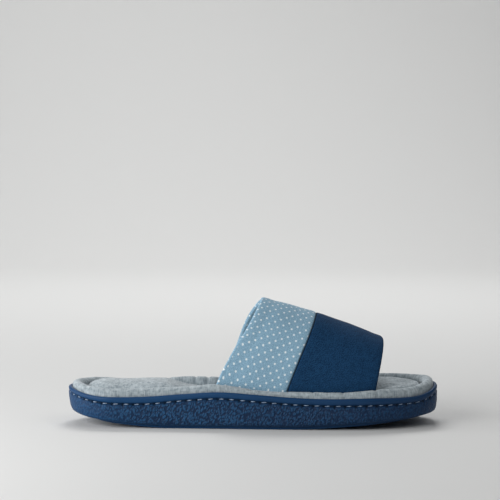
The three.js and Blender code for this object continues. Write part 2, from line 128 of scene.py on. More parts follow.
# Top of the sole's side, as a share of SIDE_HEIGHT, on the inner and the outer side of the foot. bead:
# height of the bead over the stitch groove, as a share of its usual height. groove: how deep the groove
# is cut, as a share of its usual depth. sunk: how deep the thread lies in it, in millimetres.
SIDE = table(
    "at medial lateral bead groove sunk",
    (0.0, 1.217, 1.217, 0.66, 0.4, 0.3),
    (0.04, 1.103, 1.103, 0.7, 0.7, 0.25),
    (0.08, 1.036, 1.03, 0.82, 1.0, 0.2),
    (0.13, 1.014, 0.982, 0.95, 1.0, 0.25),
    (0.22, 1.037, 0.982, 1.08, 1.0, 0.4),
    (0.32, 1.131, 1.009, 0.97, 1.0, 0.5),
    (0.41, 1.192, 1.036, 0.95, 1.0, 0.55),
    (0.51, 1.121, 1.027, 1.0, 1.0, 0.7),
    (0.61, 1.036, 1.009, 1.0, 1.0, 0.95),
    (0.7, 1.009, 1.0, 1.03, 1.0, 1.1),
    (0.82, 1.037, 1.0, 1.1, 1.0, 1.1),
    (0.9, 1.027, 1.018, 0.95, 0.9, 1.05),
    (0.945, 1.054, 1.054, 0.9, 0.7, 0.95),
    (0.975, 1.143, 1.143, 0.85, 0.5, 0.75),
    (1.0, 1.286, 1.286, 0.75, 0.3, 0.6),
)

# Padding round the foot. medial and lateral: crest of the free edge roll over the sole's side, as a share
# of the roll's height. pressed: its crest beside the upper, as a share of the squeezed roll. bed: level
# of the footbed's edge, as a share of SIDE_HEIGHT. crown: how far the footbed rises inside it, as a share
# of the footbed's crown.
PADDING = table(
    "at medial lateral pressed bed crown",
    (0.0, 0.55, 0.55, 1.6, 1.1, 0.95),
    (0.06, 0.8, 0.9, 1.6, 1.09, 1.1),
    (0.15, 0.8, 0.95, 1.6, 1.0, 1.1),
    (0.26, 0.78, 0.98, 1.6, 0.99, 1.1),
    (0.33, 0.68, 1.05, 1.6, 0.95, 0.3),
    (0.4, 0.8, 0.93, 1.6, 0.94, -0.15),
    (0.46, 0.8, 0.93, 1.18, 0.95, -0.1),
    (0.53, 0.8, 0.95, 0.85, 0.97, -0.05),
    (0.64, 0.85, 1.0, 1.25, 1.0, 0.0),
    (0.76, 0.88, 1.08, 1.3, 1.08, 0.1),
    (0.83, 0.85, 1.15, 1.6, 1.15, 0.15),
    (0.9, 0.88, 1.22, 1.6, 1.22, 0.15),
    (0.94, 0.9, 1.2, 1.6, 1.25, 0.1),
    (0.97, 0.88, 1.0, 1.6, 1.25, 0.05),
    (1.0, 0.62, 0.62, 1.6, 1.25, 0.0),
)

# Underside and wall of the sole. inset and rise are shares of the edge's rounding. The tread stands a little
# inside the wall, so a dark gap runs along the floor.
EDGE_SECTION = table(
    "at inset rise",
    (0.0, 0.8, 0.0),
    (0.2, 0.74, 0.4),
    (0.32, 0.5, 0.45),
    (0.42, 0.26, 0.5),
    (0.6, 0.09, 0.72),
    (0.8, 0.02, 1.0),
    (1.0, 0.0, 1.4),
)
# How much more the underside's edge is rounded at the two ends than along the sides. drawn: inwards.
# more: upwards. ledge: how high the wall ends over the tread there.
EDGE_SWELL = table(
    "at drawn more ledge",
    (0.0, 3.4, 2.2, 0.5),
    (0.05, 2.3, 1.8, 0.5),
    (0.1, 1.6, 1.5, 0.65),
    (0.24, 1.0, 1.0, 1.0),
    (0.78, 1.0, 1.0, 1.0),
    (0.9, 1.2, 1.15, 0.6),
    (1.0, 1.8, 1.5, 0.5),
)
LEDGE = SimpleNamespace(start=0.42, end=0.8)
# Bead over the stitch groove. drop: share of the bead's height under the top. inset: share of the lip's
# thickness.
BEAD_SECTION = table(
    "at drop inset",
    (0.0, 0.92, 0.14),
    (0.18, 0.8, 0.02),
    (0.4, 0.5, -0.03),
    (0.6, 0.22, 0.04),
    (0.8, 0.02, 0.32),
    (0.9, 0.02, 0.78),
    (1.0, 0.2, 1.0),
)
# Stitch groove. share: share of its width under the bead. deep: share of its depth.
GROOVE_SECTION = table("share deep", (1.0, 0.25), (0.75, 0.9), (0.5, 1.0), (0.25, 0.95))
# How deep the moulded grain stands on the wall: it fades towards the heel, where the wall is nearly smooth.
GRAIN_DEPTH = table(
    "at depth",
    (0.0, 0.35),
    (0.06, 0.5),
    (0.16, 0.85),
    (0.3, 1.0),
    (0.75, 1.0),
    (0.92, 0.75),
    (1.0, 0.5),
)
TREAD_ZONES = table("start end", (0.08, 0.26), (0.56, 0.9))
WAIST = SimpleNamespace(start=0.347, end=0.468)

# Section of the edge roll above the sole's side. across: share of the roll's width from its outer face.
# up: share of the crest's height.
ROLL_SECTION = table(
    "at across up",
    (0.0, 0.0, -0.06),
    (0.16, 0.02, 0.4),
    (0.34, 0.15, 0.8),
    (0.5, 0.42, 1.0),
    (0.68, 0.71, 0.87),
    (0.86, 0.93, 0.45),
    (1.0, 1.0, -0.06),
)

# Arch of the upper. top: how much of the rise from the toe opening to the instep is left at that place.
# ridge: how far the crest lies from the middle, as a share of half the width.
# medial and lateral: fullness of each shoulder, where 2 is an ellipse.
ARCH = table(
    "at top ridge medial lateral",
    (0.0, 1.0, -0.06, 2.3, 2.25),
    (0.45, 0.55, -0.1, 2.4, 2.25),
    (1.0, 0.0, -0.14, 2.5, 2.3),
)
# Back edge of the upper. at: share of its rise from foot to crest. medial and lateral: how far it stands
# back from a straight edge, as a share of BACK_EDGE_BULGE.
BACK_EDGE = table(
    "at medial lateral",
    (0.0, 0.0, 0.0),
    (0.15, 0.3, 0.08),
    (0.3, 0.38, 0.28),
    (0.5, 0.3, 0.71),
    (0.7, 0.0, 1.0),
    (0.85, 0.0, 0.77),
    (1.0, 0.0, 0.0),
)

# Soft folds of the edge roll. at: share of the length. side: -1 inner, 1 outer. width and depth in
# millimetres.
ROLL_FOLDS = table(
    "at side width depth",
    (0.045, -1, 3.0, 0.5),
    (0.11, -1, 2.2, 0.35),
    (0.2, -1, 2.6, 0.4),
    (0.27, 1, 2.4, 0.6),
    (0.345, 1, 1.8, 0.8),
    (0.378, 1, 2.2, 1.0),
    (0.42, -1, 2.2, 0.4),
    (0.5, -1, 1.8, 0.45),
    (0.585, -1, 2.6, 0.4),
    (0.66, -1, 2.0, 0.45),
    (0.74, -1, 1.6, 0.6),
    (0.83, -1, 2.4, 0.45),
    (0.86, 1, 2.2, 0.6),
    (0.915, -1, 2.2, 0.5),
    (0.975, -1, 2.6, 0.3),
)

# Soft troughs and swells of the upper's cloth, parallel to its seam. at: share of the length. width and
# depth in millimetres, where a swell has a negative depth.
PANEL_FOLDS = table(
    "at width depth",
    (0.045, 2.2, -0.12),
    (0.105, 2.4, 0.16),
    (0.2, 6.0, -0.12),
    (0.31, 6.0, 0.1),
    (0.41, 3.0, -0.2),
    (0.5, 3.5, -0.15),
    (0.63, 7.0, 0.12),
    (0.8, 8.0, -0.1),
    (0.92, 2.5, 0.12),
    (0.96, 2.0, -0.1),
)


def srgb(text):
    """The linear colour of an sRGB hex value."""
    parts = [int(text[i : i + 2], 16) / 255 for i in (1, 3, 5)]
    return tuple(c / 12.92 if c <= 0.04045 else ((c + 0.055) / 1.055) ** 2.4 for c in parts)


def length(name, description, millimetres):
    """A property that holds a size."""
    return bpy.props.FloatProperty(
        name=name, description=description, default=millimetres * MM, unit="LENGTH", min=0.0, precision=5
    )


def colour(name, description, value):
    """A property that holds a colour."""
    return bpy.props.FloatVectorProperty(
        name=name, description=description, default=srgb(value), subtype="COLOR", size=3, min=0.0, max=1.0
    )


class SlipperSoleSizes(bpy.types.PropertyGroup):
    lip: length("Lip thickness", "Wall of the cup at its top edge", 2.4)
    bead: length("Bead height", "Smooth bead over the stitch groove", 4.3)
    groove_width: length("Groove width", "Width of the stitch groove", 1.2)
    groove_depth: length("Groove depth", "Depth of the stitch groove", 1.0)
    rounding: length("Edge rounding", "Rounding between the wall and the underside", 4.5)
    tread_depth: length("Tread depth", "Depth of the grooves underneath", 1.1)
    tread_width: length("Tread width", "Width of the grooves underneath", 2.2)
    tread_pitch: length("Tread pitch", "Distance from one groove underneath to the next", 11)
    waist_recess: length("Waist recess", "How far the waist stands off the floor", 1.2)
    stitch_pitch: length("Stitch pitch", "Distance from one stitch to the next", 7.45)
    stitch_length: length("Stitch length", "Thread that shows between two holes", 3.6)
    thread: length("Thread thickness", "Diameter of the sole's thread", 0.75)


class SlipperPaddingSizes(bpy.types.PropertyGroup):
    roll_width: length("Roll width", "Width of the padded edge roll", 8)
    roll_height: length("Roll height", "Rise of the edge roll over the lip", 6.6)
    roll_squeezed: length("Squeezed roll", "Rise of the edge roll beside the upper", 3.2)
    roll_recovery: length("Roll recovery", "Stretch over which the roll swells up again", 6)
    footbed_rise: length("Footbed rise", "Rise of the footbed's edge over the lip", 2)
    footbed_crown: length("Footbed crown", "How far the heel pad rises over its own edge", 5.6)
    footbed_rounding: length("Footbed rounding", "Rounding of the footbed's upper edge", 1.2)
    pillow_edge: length("Pillow edge", "Width over which the footbed falls to its edge", 15)
    swelling: length("Swelling", "Most that the stuffing may push the cover out", 2.0)
    voxel: length("Simulation mesh", "Size of the faces that the stuffing pushes", 4)


class SlipperUpperSizes(bpy.types.PropertyGroup):
    wall: length("Wall", "Thickness of the padded upper", 3.4)
    margin_wall: length("Margin wall", "Thickness of the upper where it is lasted in", 2.2)
    seam_sink: length("Seam depth", "Depth of the crease between the two panels", 0.7)
    seam_round: length("Seam rounding", "Width over which a panel turns down to the seam", 1.8)
    facing: length("Facing", "Depth of the turned-in cloth inside each opening", 12)
    lining: length("Lining", "Thickness of the jersey lining", 1.2)
    dot_pitch: length("Dot pitch", "Distance from one dot to its nearest neighbour", 4.75)
    dot: length("Dot", "Diameter of a dot", 1.5)


class SlipperColours(bpy.types.PropertyGroup):
    rubber: colour("Rubber", "Colour of the moulded sole", "#12406a")
    # Painted highlight: a paler colour on the tops of the grain
    rubber_ridge_highlight: colour("Rubber on the grain", "Rubbed tops of the moulded grain", "#25537d")
    # Painted shade: a darker colour in the grain's hollows and towards the toe
    rubber_shade: colour("Rubber in the grain", "Colour at the bottom of the moulded grain", "#082646")
    thread: colour("Thread", "Colour of the sole's stitching", "#93a6bf")
    jersey: colour("Jersey", "Main yarn of the marl jersey", "#99a4aa")
    jersey_light: colour("Pale yarn", "Palest yarn of the marl jersey", "#b1bbc0")
    jersey_dark: colour("Dark yarn", "Darkest yarn of the marl jersey", "#7a868d")
    cotton: colour("Dotted cotton", "Ground of the rear panel", "#98bcd1")
    cotton_deep: colour("Cotton weft", "Darker yarn of the rear panel", "#769cb5")
    dots: colour("Dots", "Dots of the rear panel", "#e6eef0")
    navy: colour("Navy cotton", "Warp of the front panel", "#072440")
    navy_light: colour("Navy weft", "Paler yarn of the front panel", "#1f486e")
    floor: colour("Floor", "Studio floor and backdrop", "#d9d9d8")


# Curves and the sole's outline


def along(rows, column, at):
    """Reads a column of a table between its rows, on a smooth curve through them."""
    i = 0
    while i < len(rows) - 2 and rows[i + 1]["at"] < at:
        i += 1

    def slope(j):
        before = rows[max(j - 1, 0)]
        after = rows[min(j + 1, len(rows) - 1)]
        return (after[column] - before[column]) / (after["at"] - before["at"])

    low, high = rows[i], rows[i + 1]
    width = high["at"] - low["at"]
    f = min(max((at - low["at"]) / width, 0.0), 1.0)
    ends = low[column] * (1 + 2 * f) * (1 - f) ** 2 + high[column] * (3 - 2 * f) * f**2
    return ends + width * (slope(i) * f * (1 - f) ** 2 - slope(i + 1) * (1 - f) * f**2)


def smoothstep(value, low, high):
    f = min(max((value - low) / (high - low), 0.0), 1.0)
    return f * f * (3 - 2 * f)


def lerp(a, b, f):
    return a + (b - a) * f


def bump(distance, width):
    """1 at no distance, and 0 from width on, without a corner at either end."""
    return 1 - smoothstep(abs(distance), 0, width)


def place_of(at):
    return (at - 0.5) * SOLE_LENGTH


def share_at(x):
    return x / SOLE_LENGTH + 0.5


def side_name(side):
    """The column of a table that holds a side of the foot."""
    return "medial" if side < 0 else "lateral"


def plan_share(at, side):
    """Where the outline lies across the foot, as a share of half the ball width."""
    heel = max(1 - at / HEEL_ROUND.share, 0)
    toe = max(1 - (1 - at) / TOE_ROUND.share, 0)
    ends = (1 - heel**HEEL_ROUND.power) ** (1 / HEEL_ROUND.power)
    ends *= (1 - toe**TOE_ROUND.power) ** (1 / TOE_ROUND.power)
    return along(PLAN, "middle", at) + side * along(PLAN, "half", at) * ends


def make_outline(stations):
    """Spots round the sole: heel, inner side, toe, outer side. side is -1 on the inner side of the foot."""
    spots = []
    for i in range(2 * stations):
        side = -1 if i <= stations else 1
        at = (1 - math.cos(math.pi * min(i, 2 * stations - i) / stations)) / 2
        spots.append(SimpleNamespace(at=at, side=side, x=place_of(at), y=plan_share(at, side)))
    low = min(s.y for s in spots)
    high = max(s.y for s in spots)
    for s in spots:
        s.y = (s.y - (low + high) / 2) * BALL_WIDTH / (high - low)
    run = 0.0
    for i, s in enumerate(spots):
        before = spots[i - 1]
        after = spots[(i + 1) % len(spots)]
        s.out = Vector((after.y - before.y, before.x - after.x)).normalized()
        run += math.hypot(s.x - before.x, s.y - before.y) if i else 0.0
        s.run = run
    return spots


OUTLINE = make_outline(STATIONS)
PERIMETER = OUTLINE[-1].run + math.hypot(OUTLINE[-1].x - OUTLINE[0].x, OUTLINE[-1].y - OUTLINE[0].y)
EDGES = {}


def edge_at(side, inset, x):
    """Where a line inside the outline lies at a given x, on one side of the foot."""
    if (side, inset) not in EDGES:
        spots = [s for i, s in enumerate(make_outline(4 * OUTLINE_STATIONS)) if i == 0 or s.side == side]
        points = sorted((s.x - s.out.x * inset, s.y - s.out.y * inset) for s in spots)
        EDGES[side, inset] = ([p[0] for p in points], [p[1] for p in points])
    xs, ys = EDGES[side, inset]
    i = min(max(bisect_left(xs, x) - 1, 0), len(xs) - 2)
    f = min(max((x - xs[i]) / (xs[i + 1] - xs[i]), 0.0), 1.0)
    return lerp(ys[i], ys[i + 1], f)


def underside(at):
    toe = max((at - TOE_BREAK) / (1 - TOE_BREAK), 0)
    heel = max((HEEL_BREAK - at) / HEEL_BREAK, 0)
    return TOE_SPRING * toe**TOE_CURVE + HEEL_LIFT * heel**HEEL_CURVE


def lip_top(spot):
    return SIDE_HEIGHT * along(SIDE, side_name(spot.side), spot.at)


def bead_height(spot):
    return bpy.context.scene.slipper_sole.bead * along(SIDE, "bead", spot.at)


def bead_foot(spot):
    """Height at which the bead ends and the stitch groove begins."""
    return lip_top(spot) - bead_height(spot)


def cup_floor(spot):
    return underside(spot.at) + FLOOR_THICKNESS


def ring_point(spot, inset, height):
    return Vector((spot.x - spot.out.x * inset, spot.y - spot.out.y * inset, height))


# Mesh helpers


def bent_grid(bm, across, rows, place, lay=None):
    """Adds a grid of across by rows faces, with each vertex at place(i, j) and its cloth at lay(i, j)."""
    made = bmesh.ops.create_grid(bm, x_segments=across, y_segments=rows, size=1.0)["verts"]
    cells = {v: (round((v.co.x + 1) / 2 * across), round((v.co.y + 1) / 2 * rows)) for v in made}
    for vert, cell in cells.items():
        vert.co = place(*cell)
    if lay:
        cloth = bm.loops.layers.uv.verify()
        for vert, cell in cells.items():
            spread = lay(*cell)
            for loop in vert.link_loops:
                loop[cloth].uv = spread
    return cells


def close_shell(bm, weld=2e-6):
    """Merges the doubles along a grid's seams, closes what is still open and turns the faces outwards."""
    bmesh.ops.remove_doubles(bm, verts=bm.verts, dist=weld)
    bmesh.ops.dissolve_degenerate(bm, edges=bm.edges, dist=weld)
    open_edges = [e for e in bm.edges if e.is_boundary]
    if open_edges:
        bmesh.ops.holes_fill(bm, edges=open_edges, sides=0)
    bmesh.ops.recalc_face_normals(bm, faces=bm.faces)


def stand_shell(name, bm, material):
    """Turns a shell into an object of the scene, with its finish."""
    mesh = bpy.data.meshes.new(name)
    bm.to_mesh(mesh)
    bm.free()
    mesh.shade_smooth()
    mesh.materials.append(material)
    made = bpy.data.objects.new(name, mesh)
    bpy.context.scene.collection.objects.link(made)
    return made


def add_piece(name, bm, material, nodes=()):
    """Makes the shell a piece of the slipper that rides on the one body."""
    piece = stand_shell(name, bm, material)
    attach(piece, "root")
    if nodes:
        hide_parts(*nodes)
    return piece


# Materials

# Ridges of the rubber's grain: width and length, and degrees that they lean
GRAIN_SIZE = (1.2 * MM, 1.2 * MM, 2.2 * MM)
GRAIN_LEAN = 26
# Rows of dots: where they start, in pitches, and degrees that they are turned from the seam
DOT_START = (0.31, 0.17, 0)
DOT_ROWS_TURN = 48.6
# How much closer and wider the rows of dots lie, since the cloth has given
CLOTH_GIVE = (0.94, 1.055)


def new_material(name):
    """An empty material with its shader, and the tree that they stand in."""
    material = bpy.data.materials.new(name)
    material.use_nodes = True
    tree = material.node_tree
    shader = next(n for n in tree.nodes if n.type == "BSDF_PRINCIPLED")
    return material, tree, shader


def add_node(tree, kind, inputs=None, **settings):
    """Adds a node with its settings, and feeds each input from a value or from another node's socket."""
    node = tree.nodes.new("ShaderNode" + kind)
    for name, value in settings.items():
        setattr(node, name, value)
    for key, value in (inputs or {}).items():
        if isinstance(value, bpy.types.NodeSocket):
            tree.links.new(value, node.inputs[key])
        else:
            node.inputs[key].default_value = value
    return node


def rgba(value):
    return (*value, 1.0)


def moulded_rubber():
    """Thermoplastic rubber, injection moulded in a textured mould: navy all through, with a low waxy
    gloss on the smooth bead and a worm-like leather grain on the wall that breaks the gloss into small
    glints."""
    colours = bpy.context.scene.slipper_colours
    material, tree, shader = new_material("moulded_navy_rubber")
    place = add_node(tree, "TexCoord").outputs["Object"]
    grain_mask = add_node(tree, "Attribute", attribute_name="grain").outputs["Fac"]
    hole_shade_mask = add_node(tree, "Attribute", attribute_name="hole_and_groove_shade").outputs["Fac"]

    # Short ridges as moulded, 1.2 mm apart, 2.2 mm long and a little bent: they lean towards the toe
    leaning = add_node(
        tree,
        "Mapping",
        {"Vector": place, "Rotation": (0, math.radians(GRAIN_LEAN), 0), "Scale": GRAIN_SIZE},
        vector_type="TEXTURE",
    )
    bend = add_node(tree, "TexNoise", {"Vector": leaning.outputs[0], "Scale": 0.9, "Detail": 1.0})
    bent = add_node(
        tree,
        "VectorMath",
        {0: bend.outputs["Color"], 1: (1.1, 1.1, 1.1), 2: leaning.outputs[0]},
        operation="MULTIPLY_ADD",
    )
    ridges = add_node(tree, "TexVoronoi", {"Vector": bent.outputs[0], "Scale": 1.0})
    hills = add_node(
        tree,
        "MapRange",
        {"Value": ridges.outputs["Distance"], 1: 0.26, 2: 0.74, 3: 1.0, 4: 0.0},
        interpolation_type="SMOOTHSTEP",
    )
    fine = add_node(tree, "TexNoise", {"Vector": place, "Scale": 1 / (0.7 * MM), "Detail": 2.0})
    relief = add_node(
        tree, "Math", {0: fine.outputs["Fac"], 1: 0.3, 2: hills.outputs[0]}, operation="MULTIPLY_ADD"
    )
    grained = add_node(tree, "Math", {0: relief.outputs[0], 1: grain_mask}, operation="MULTIPLY")

    cloudy = add_node(tree, "TexNoise", {"Vector": place, "Scale": 1 / (18 * MM), "Detail": 2.0})
    clouds = add_node(tree, "MapRange", {"Value": cloudy.outputs["Fac"], 1: 0.3, 2: 0.7, 3: 0.0, 4: 0.15})
    along_sole = add_node(tree, "SeparateXYZ", {0: place}).outputs[0]
    # Painted shade: darker towards the toe, where less of the light from the left reaches
    toe_shade = add_node(tree, "MapRange", {"Value": along_sole, 1: -0.03, 2: 0.07, 3: 0.0, 4: 0.42})
    mottle_and_toe_shade = add_node(tree, "Math", {0: clouds.outputs[0], 1: toe_shade.outputs[0]}, operation="ADD")
    # Painted highlight and shade: the grain's ridge tops paler, its hollows darker
    pale_share = add_node(tree, "MapRange", {"Value": hills.outputs[0], 1: 0.1, 2: 1.0, 3: 0.0, 4: 1.0})
    base = add_node(
        tree,
        "Mix",
        {0: pale_share.outputs[0], 6: rgba(colours.rubber_shade), 7: rgba(colours.rubber_ridge_highlight)},
        data_type="RGBA",
    )
    plain = add_node(
        tree, "Mix", {0: grain_mask, 6: rgba(colours.rubber), 7: base.outputs[2]}, data_type="RGBA"
    )
    # Random clouds of tone, with the painted shade towards the toe
    mottled_and_toe_shaded = add_node(
        tree, "Mix", {0: mottle_and_toe_shade.outputs[0], 6: plain.outputs[2], 7: rgba(colours.rubber_shade)}, data_type="RGBA"
    )
    # Painted shade: near black in the stitch holes and darker along the stitch groove
    hole_shaded = add_node(
        tree, "Mix", {0: hole_shade_mask, 6: mottled_and_toe_shaded.outputs[2], 7: rgba(srgb("#02050a"))}, data_type="RGBA"
    )
    tree.links.new(hole_shaded.outputs[2], shader.inputs["Base Color"])

    rough = add_node(tree, "MapRange", {"Value": grained.outputs[0], 1: 0.0, 2: 1.0, 3: 0.5, 4: 0.62})
    tree.links.new(rough.outputs[0], shader.inputs["Roughness"])
    shader.inputs["IOR"].default_value = 1.5
    shader.inputs["Specular IOR Level"].default_value = 0.22
    raised = add_node(tree, "Bump", {"Strength": 1.0, "Distance": 0.5 * MM, "Height": grained.outputs[0]})
    tree.links.new(raised.outputs[0], shader.inputs["Normal"])
    return material


def stitching_thread():
    """Polyester thread, twisted from two plies: paler than the rubber, with the fine slant of its twist."""
    colours = bpy.context.scene.slipper_colours
    material, tree, shader = new_material("twisted_polyester_thread")
    place = add_node(tree, "TexCoord").outputs["Object"]
    # A band of the twist every 2 mm along the sole
    twist = add_node(
        tree,
        "TexWave",
        {"Vector": place, "Scale": 1 / (3.2 * MM), "Distortion": 1.0},
        wave_type="BANDS",
        bands_direction="DIAGONAL",
    )
    dark = tuple(c * 0.55 for c in colours.thread)
    mixed = add_node(
        tree, "Mix", {0: twist.outputs["Fac"], 6: rgba(dark), 7: rgba(colours.thread)}, data_type="RGBA"
    )
    tree.links.new(mixed.outputs[2], shader.inputs["Base Color"])
    shader.inputs["Roughness"].default_value = 0.6
    raised = add_node(tree, "Bump", {"Strength": 0.6, "Distance": 0.1 * MM, "Height": twist.outputs["Fac"]})
    tree.links.new(raised.outputs[0], shader.inputs["Normal"])
    return material


def marl_jersey(name, cloth_map, streak):
    """Cotton jersey, knitted from marl yarn: soft and matt, mottled in pale and dark grey streaks along
    its wales, with a faint fuzz that lightens its edges. streak holds the streaks' width and length."""
    colours = bpy.context.scene.slipper_colours
    material, tree, shader = new_material(name)
    coordinates = add_node(tree, "TexCoord")
    place = coordinates.outputs["UV" if cloth_map else "Object"]
    width, run = streak
    stretched = add_node(tree, "Mapping", {"Vector": place, "Scale": (1 / width, 1 / run, 1 / width)})
    streaks = add_node(tree, "TexNoise", {"Vector": stretched.outputs[0], "Scale": 1.0, "Detail": 3.0})
    clouds = add_node(tree, "TexNoise", {"Vector": place, "Scale": 1 / (3.6 * MM), "Detail": 3.0})
    # Wales 1.8 mm apart, about twice the real spacing, so that they show
    loops = add_node(
        tree,
        "TexWave",
        {"Vector": place, "Scale": 1 / (5.6 * MM), "Distortion": 2.5, "Detail": 1.0, "Detail Scale": 2.0},
        wave_type="BANDS",
        bands_direction="X",
    )
    yarn = add_node(tree, "Math", {0: streaks.outputs["Fac"], 1: 0.5}, operation="MULTIPLY")
    mottle = add_node(
        tree, "Math", {0: clouds.outputs["Fac"], 1: 0.5, 2: yarn.outputs[0]}, operation="MULTIPLY_ADD"
    )
    shade = add_node(tree, "ValToRGB", {0: mottle.outputs[0]})
    ramp = shade.color_ramp
    ramp.elements[0].position = 0.37
    ramp.elements[0].color = rgba(colours.jersey_dark)
    ramp.elements[1].position = 0.63
    ramp.elements[1].color = rgba(colours.jersey_light)
    middle = ramp.elements.new(0.5)
    middle.color = rgba(colours.jersey)
    tree.links.new(shade.outputs[0], shader.inputs["Base Color"])
    shader.inputs["Roughness"].default_value = 0.95
    shader.inputs["Specular IOR Level"].default_value = 0.2
    shader.inputs["Sheen Weight"].default_value = 0.25
    shader.inputs["Sheen Roughness"].default_value = 0.6
    height = add_node(
        tree, "Math", {0: loops.outputs["Fac"], 1: 0.45, 2: streaks.outputs["Fac"]}, operation="MULTIPLY_ADD"
    )
    raised = add_node(tree, "Bump", {"Strength": 0.6, "Distance": 0.22 * MM, "Height": height.outputs[0]})
    tree.links.new(raised.outputs[0], shader.inputs["Normal"])
    return material


def woven_relief(tree, cloth, thread):
    """Height of a plain weave with the given thread spacing: warp and weft cross at right angles."""
    turns = 2 * math.pi / (2 * thread)
    parts = add_node(tree, "SeparateXYZ", {0: cloth})
    warp = add_node(tree, "Math", {0: parts.outputs[0], 1: turns}, operation="MULTIPLY")
    weft = add_node(tree, "Math", {0: parts.outputs[1], 1: turns}, operation="MULTIPLY")
    over = add_node(tree, "Math", {0: warp.outputs[0]}, operation="SINE")
    under = add_node(tree, "Math", {0: weft.outputs[0]}, operation="SINE")
    return add_node(tree, "Math", {0: over.outputs[0], 1: under.outputs[0]}, operation="MULTIPLY").outputs[0]


def painted_crease_shade(tree, cloth, colour, shaded):
    """A cloth's colour, turned dark by painted shade within half a millimetre of the seam, where the cloth is
    laid from.
    """
    parts = add_node(tree, "SeparateXYZ", {0: cloth})
    away = add_node(tree, "Math", {0: parts.outputs[1]}, operation="ABSOLUTE")
    share = add_node(tree, "MapRange", {"Value": away.outputs[0], 1: 0.2 * MM, 2: 0.8 * MM, 3: 1.0, 4: 0.0})
    return add_node(
        tree, "Mix", {0: share.outputs[0], 6: colour, 7: rgba(srgb(shaded))}, data_type="RGBA"
    ).outputs[2]


def dotted_cotton():
    """Plain-woven cotton, printed with small round dots in staggered rows: a dusty blue with a dry,
    slightly slubby weave. The cloth is cut at half a right angle to its rows of dots and gives a little
    along the seam."""
    colours = bpy.context.scene.slipper_colours
    sizes = bpy.context.scene.slipper_upper
    material, tree, shader = new_material("printed_plain_weave_cotton")
    cloth = add_node(tree, "TexCoord").outputs["UV"]
    turned = add_node(
        tree,
        "Mapping",
        {
            "Vector": cloth,
            "Location": DOT_START,
            "Rotation": (0, 0, math.radians(DOT_ROWS_TURN)),
            "Scale": (CLOTH_GIVE[0] / sizes.dot_pitch, CLOTH_GIVE[1] / sizes.dot_pitch, 1),
        },
    )
    cell = add_node(tree, "VectorMath", {0: turned.outputs[0]}, operation="FRACTION")
    centred = add_node(tree, "VectorMath", {0: cell.outputs[0], 1: (0.5, 0.5, 0.0)}, operation="SUBTRACT")
    flat = add_node(tree, "VectorMath", {0: centred.outputs[0], 1: (1, 1, 0)}, operation="MULTIPLY")
    away = add_node(tree, "VectorMath", {0: flat.outputs[0]}, operation="LENGTH")
    radius = sizes.dot / 2 / sizes.dot_pitch
    dots = add_node(
        tree,
        "MapRange",
        {"Value": away.outputs["Value"], 1: radius * 0.6, 2: radius * 1.3, 3: 1.0, 4: 0.0},
        interpolation_type="SMOOTHSTEP",
    )
    slub_place = add_node(tree, "Mapping", {"Vector": cloth, "Scale": (1 / (0.7 * MM), 1 / (1.0 * MM), 1)})
    slubs = add_node(tree, "TexNoise", {"Vector": slub_place.outputs[0], "Scale": 1.0, "Detail": 3.0})
    pale_share = add_node(tree, "MapRange", {"Value": slubs.outputs["Fac"], 1: 0.35, 2: 0.65, 3: 0.0, 4: 1.0})
    ground = add_node(
        tree,
        "Mix",
        {0: pale_share.outputs[0], 6: rgba(colours.cotton_deep), 7: rgba(colours.cotton)},
        data_type="RGBA",
    )
    printed = add_node(
        tree, "Mix", {0: dots.outputs[0], 6: ground.outputs[2], 7: rgba(colours.dots)}, data_type="RGBA"
    )
    # Painted shade in the crease along the seam
    crease_shaded = painted_crease_shade(tree, cloth, printed.outputs[2], "#466880")
    tree.links.new(crease_shaded, shader.inputs["Base Color"])
    shader.inputs["Roughness"].default_value = 0.88
    shader.inputs["Specular IOR Level"].default_value = 0.25
    shader.inputs["Sheen Weight"].default_value = 0.12
    shader.inputs["Sheen Roughness"].default_value = 0.5
    # Threads 0.5 mm apart, twice the real spacing, so that they show
    weave = woven_relief(tree, cloth, 0.5 * MM)
    height = add_node(tree, "Math", {0: slubs.outputs["Fac"], 1: 1.2, 2: weave}, operation="MULTIPLY_ADD")
    raised = add_node(tree, "Bump", {"Strength": 0.6, "Distance": 0.14 * MM, "Height": height.outputs[0]})
    tree.links.new(raised.outputs[0], shader.inputs["Normal"])
    return material


def brushed_navy_cotton():
    """Cotton twill, dyed navy and brushed: matt and deep, with a short nap and paler flecks where the
    weft shows."""
    colours = bpy.context.scene.slipper_colours
    material, tree, shader = new_material("brushed_navy_twill")
    cloth = add_node(tree, "TexCoord").outputs["UV"]
    slant = add_node(tree, "Mapping", {"Vector": cloth, "Rotation": (0, 0, math.radians(38))})
    stretched = add_node(
        tree, "Mapping", {"Vector": slant.outputs[0], "Scale": (1 / (0.55 * MM), 1 / (0.9 * MM), 1)}
    )
    flecks = add_node(tree, "TexNoise", {"Vector": stretched.outputs[0], "Scale": 1.0, "Detail": 4.0})
    nap = add_node(tree, "TexNoise", {"Vector": cloth, "Scale": 1 / (4 * MM), "Detail": 2.0})
    both = add_node(
        tree, "Math", {0: nap.outputs["Fac"], 1: 0.2, 2: flecks.outputs["Fac"]}, operation="MULTIPLY_ADD"
    )
    shown = add_node(tree, "MapRange", {"Value": both.outputs[0], 1: 0.45, 2: 0.75, 3: 0.0, 4: 1.0})
    dyed = add_node(
        tree,
        "Mix",
        {0: shown.outputs[0], 6: rgba(colours.navy), 7: rgba(colours.navy_light)},
        data_type="RGBA",
    )
    # Painted shade in the crease along the seam
    crease_shaded = painted_crease_shade(tree, cloth, dyed.outputs[2], "#03101f")
    tree.links.new(crease_shaded, shader.inputs["Base Color"])
    shader.inputs["Roughness"].default_value = 0.95
    shader.inputs["Specular IOR Level"].default_value = 0.12
    shader.inputs["Sheen Weight"].default_value = 0.02
    shader.inputs["Sheen Roughness"].default_value = 0.5
    raised = add_node(tree, "Bump", {"Strength": 0.6, "Distance": 0.2 * MM, "Height": flecks.outputs["Fac"]})
    tree.links.new(raised.outputs[0], shader.inputs["Normal"])
    return material


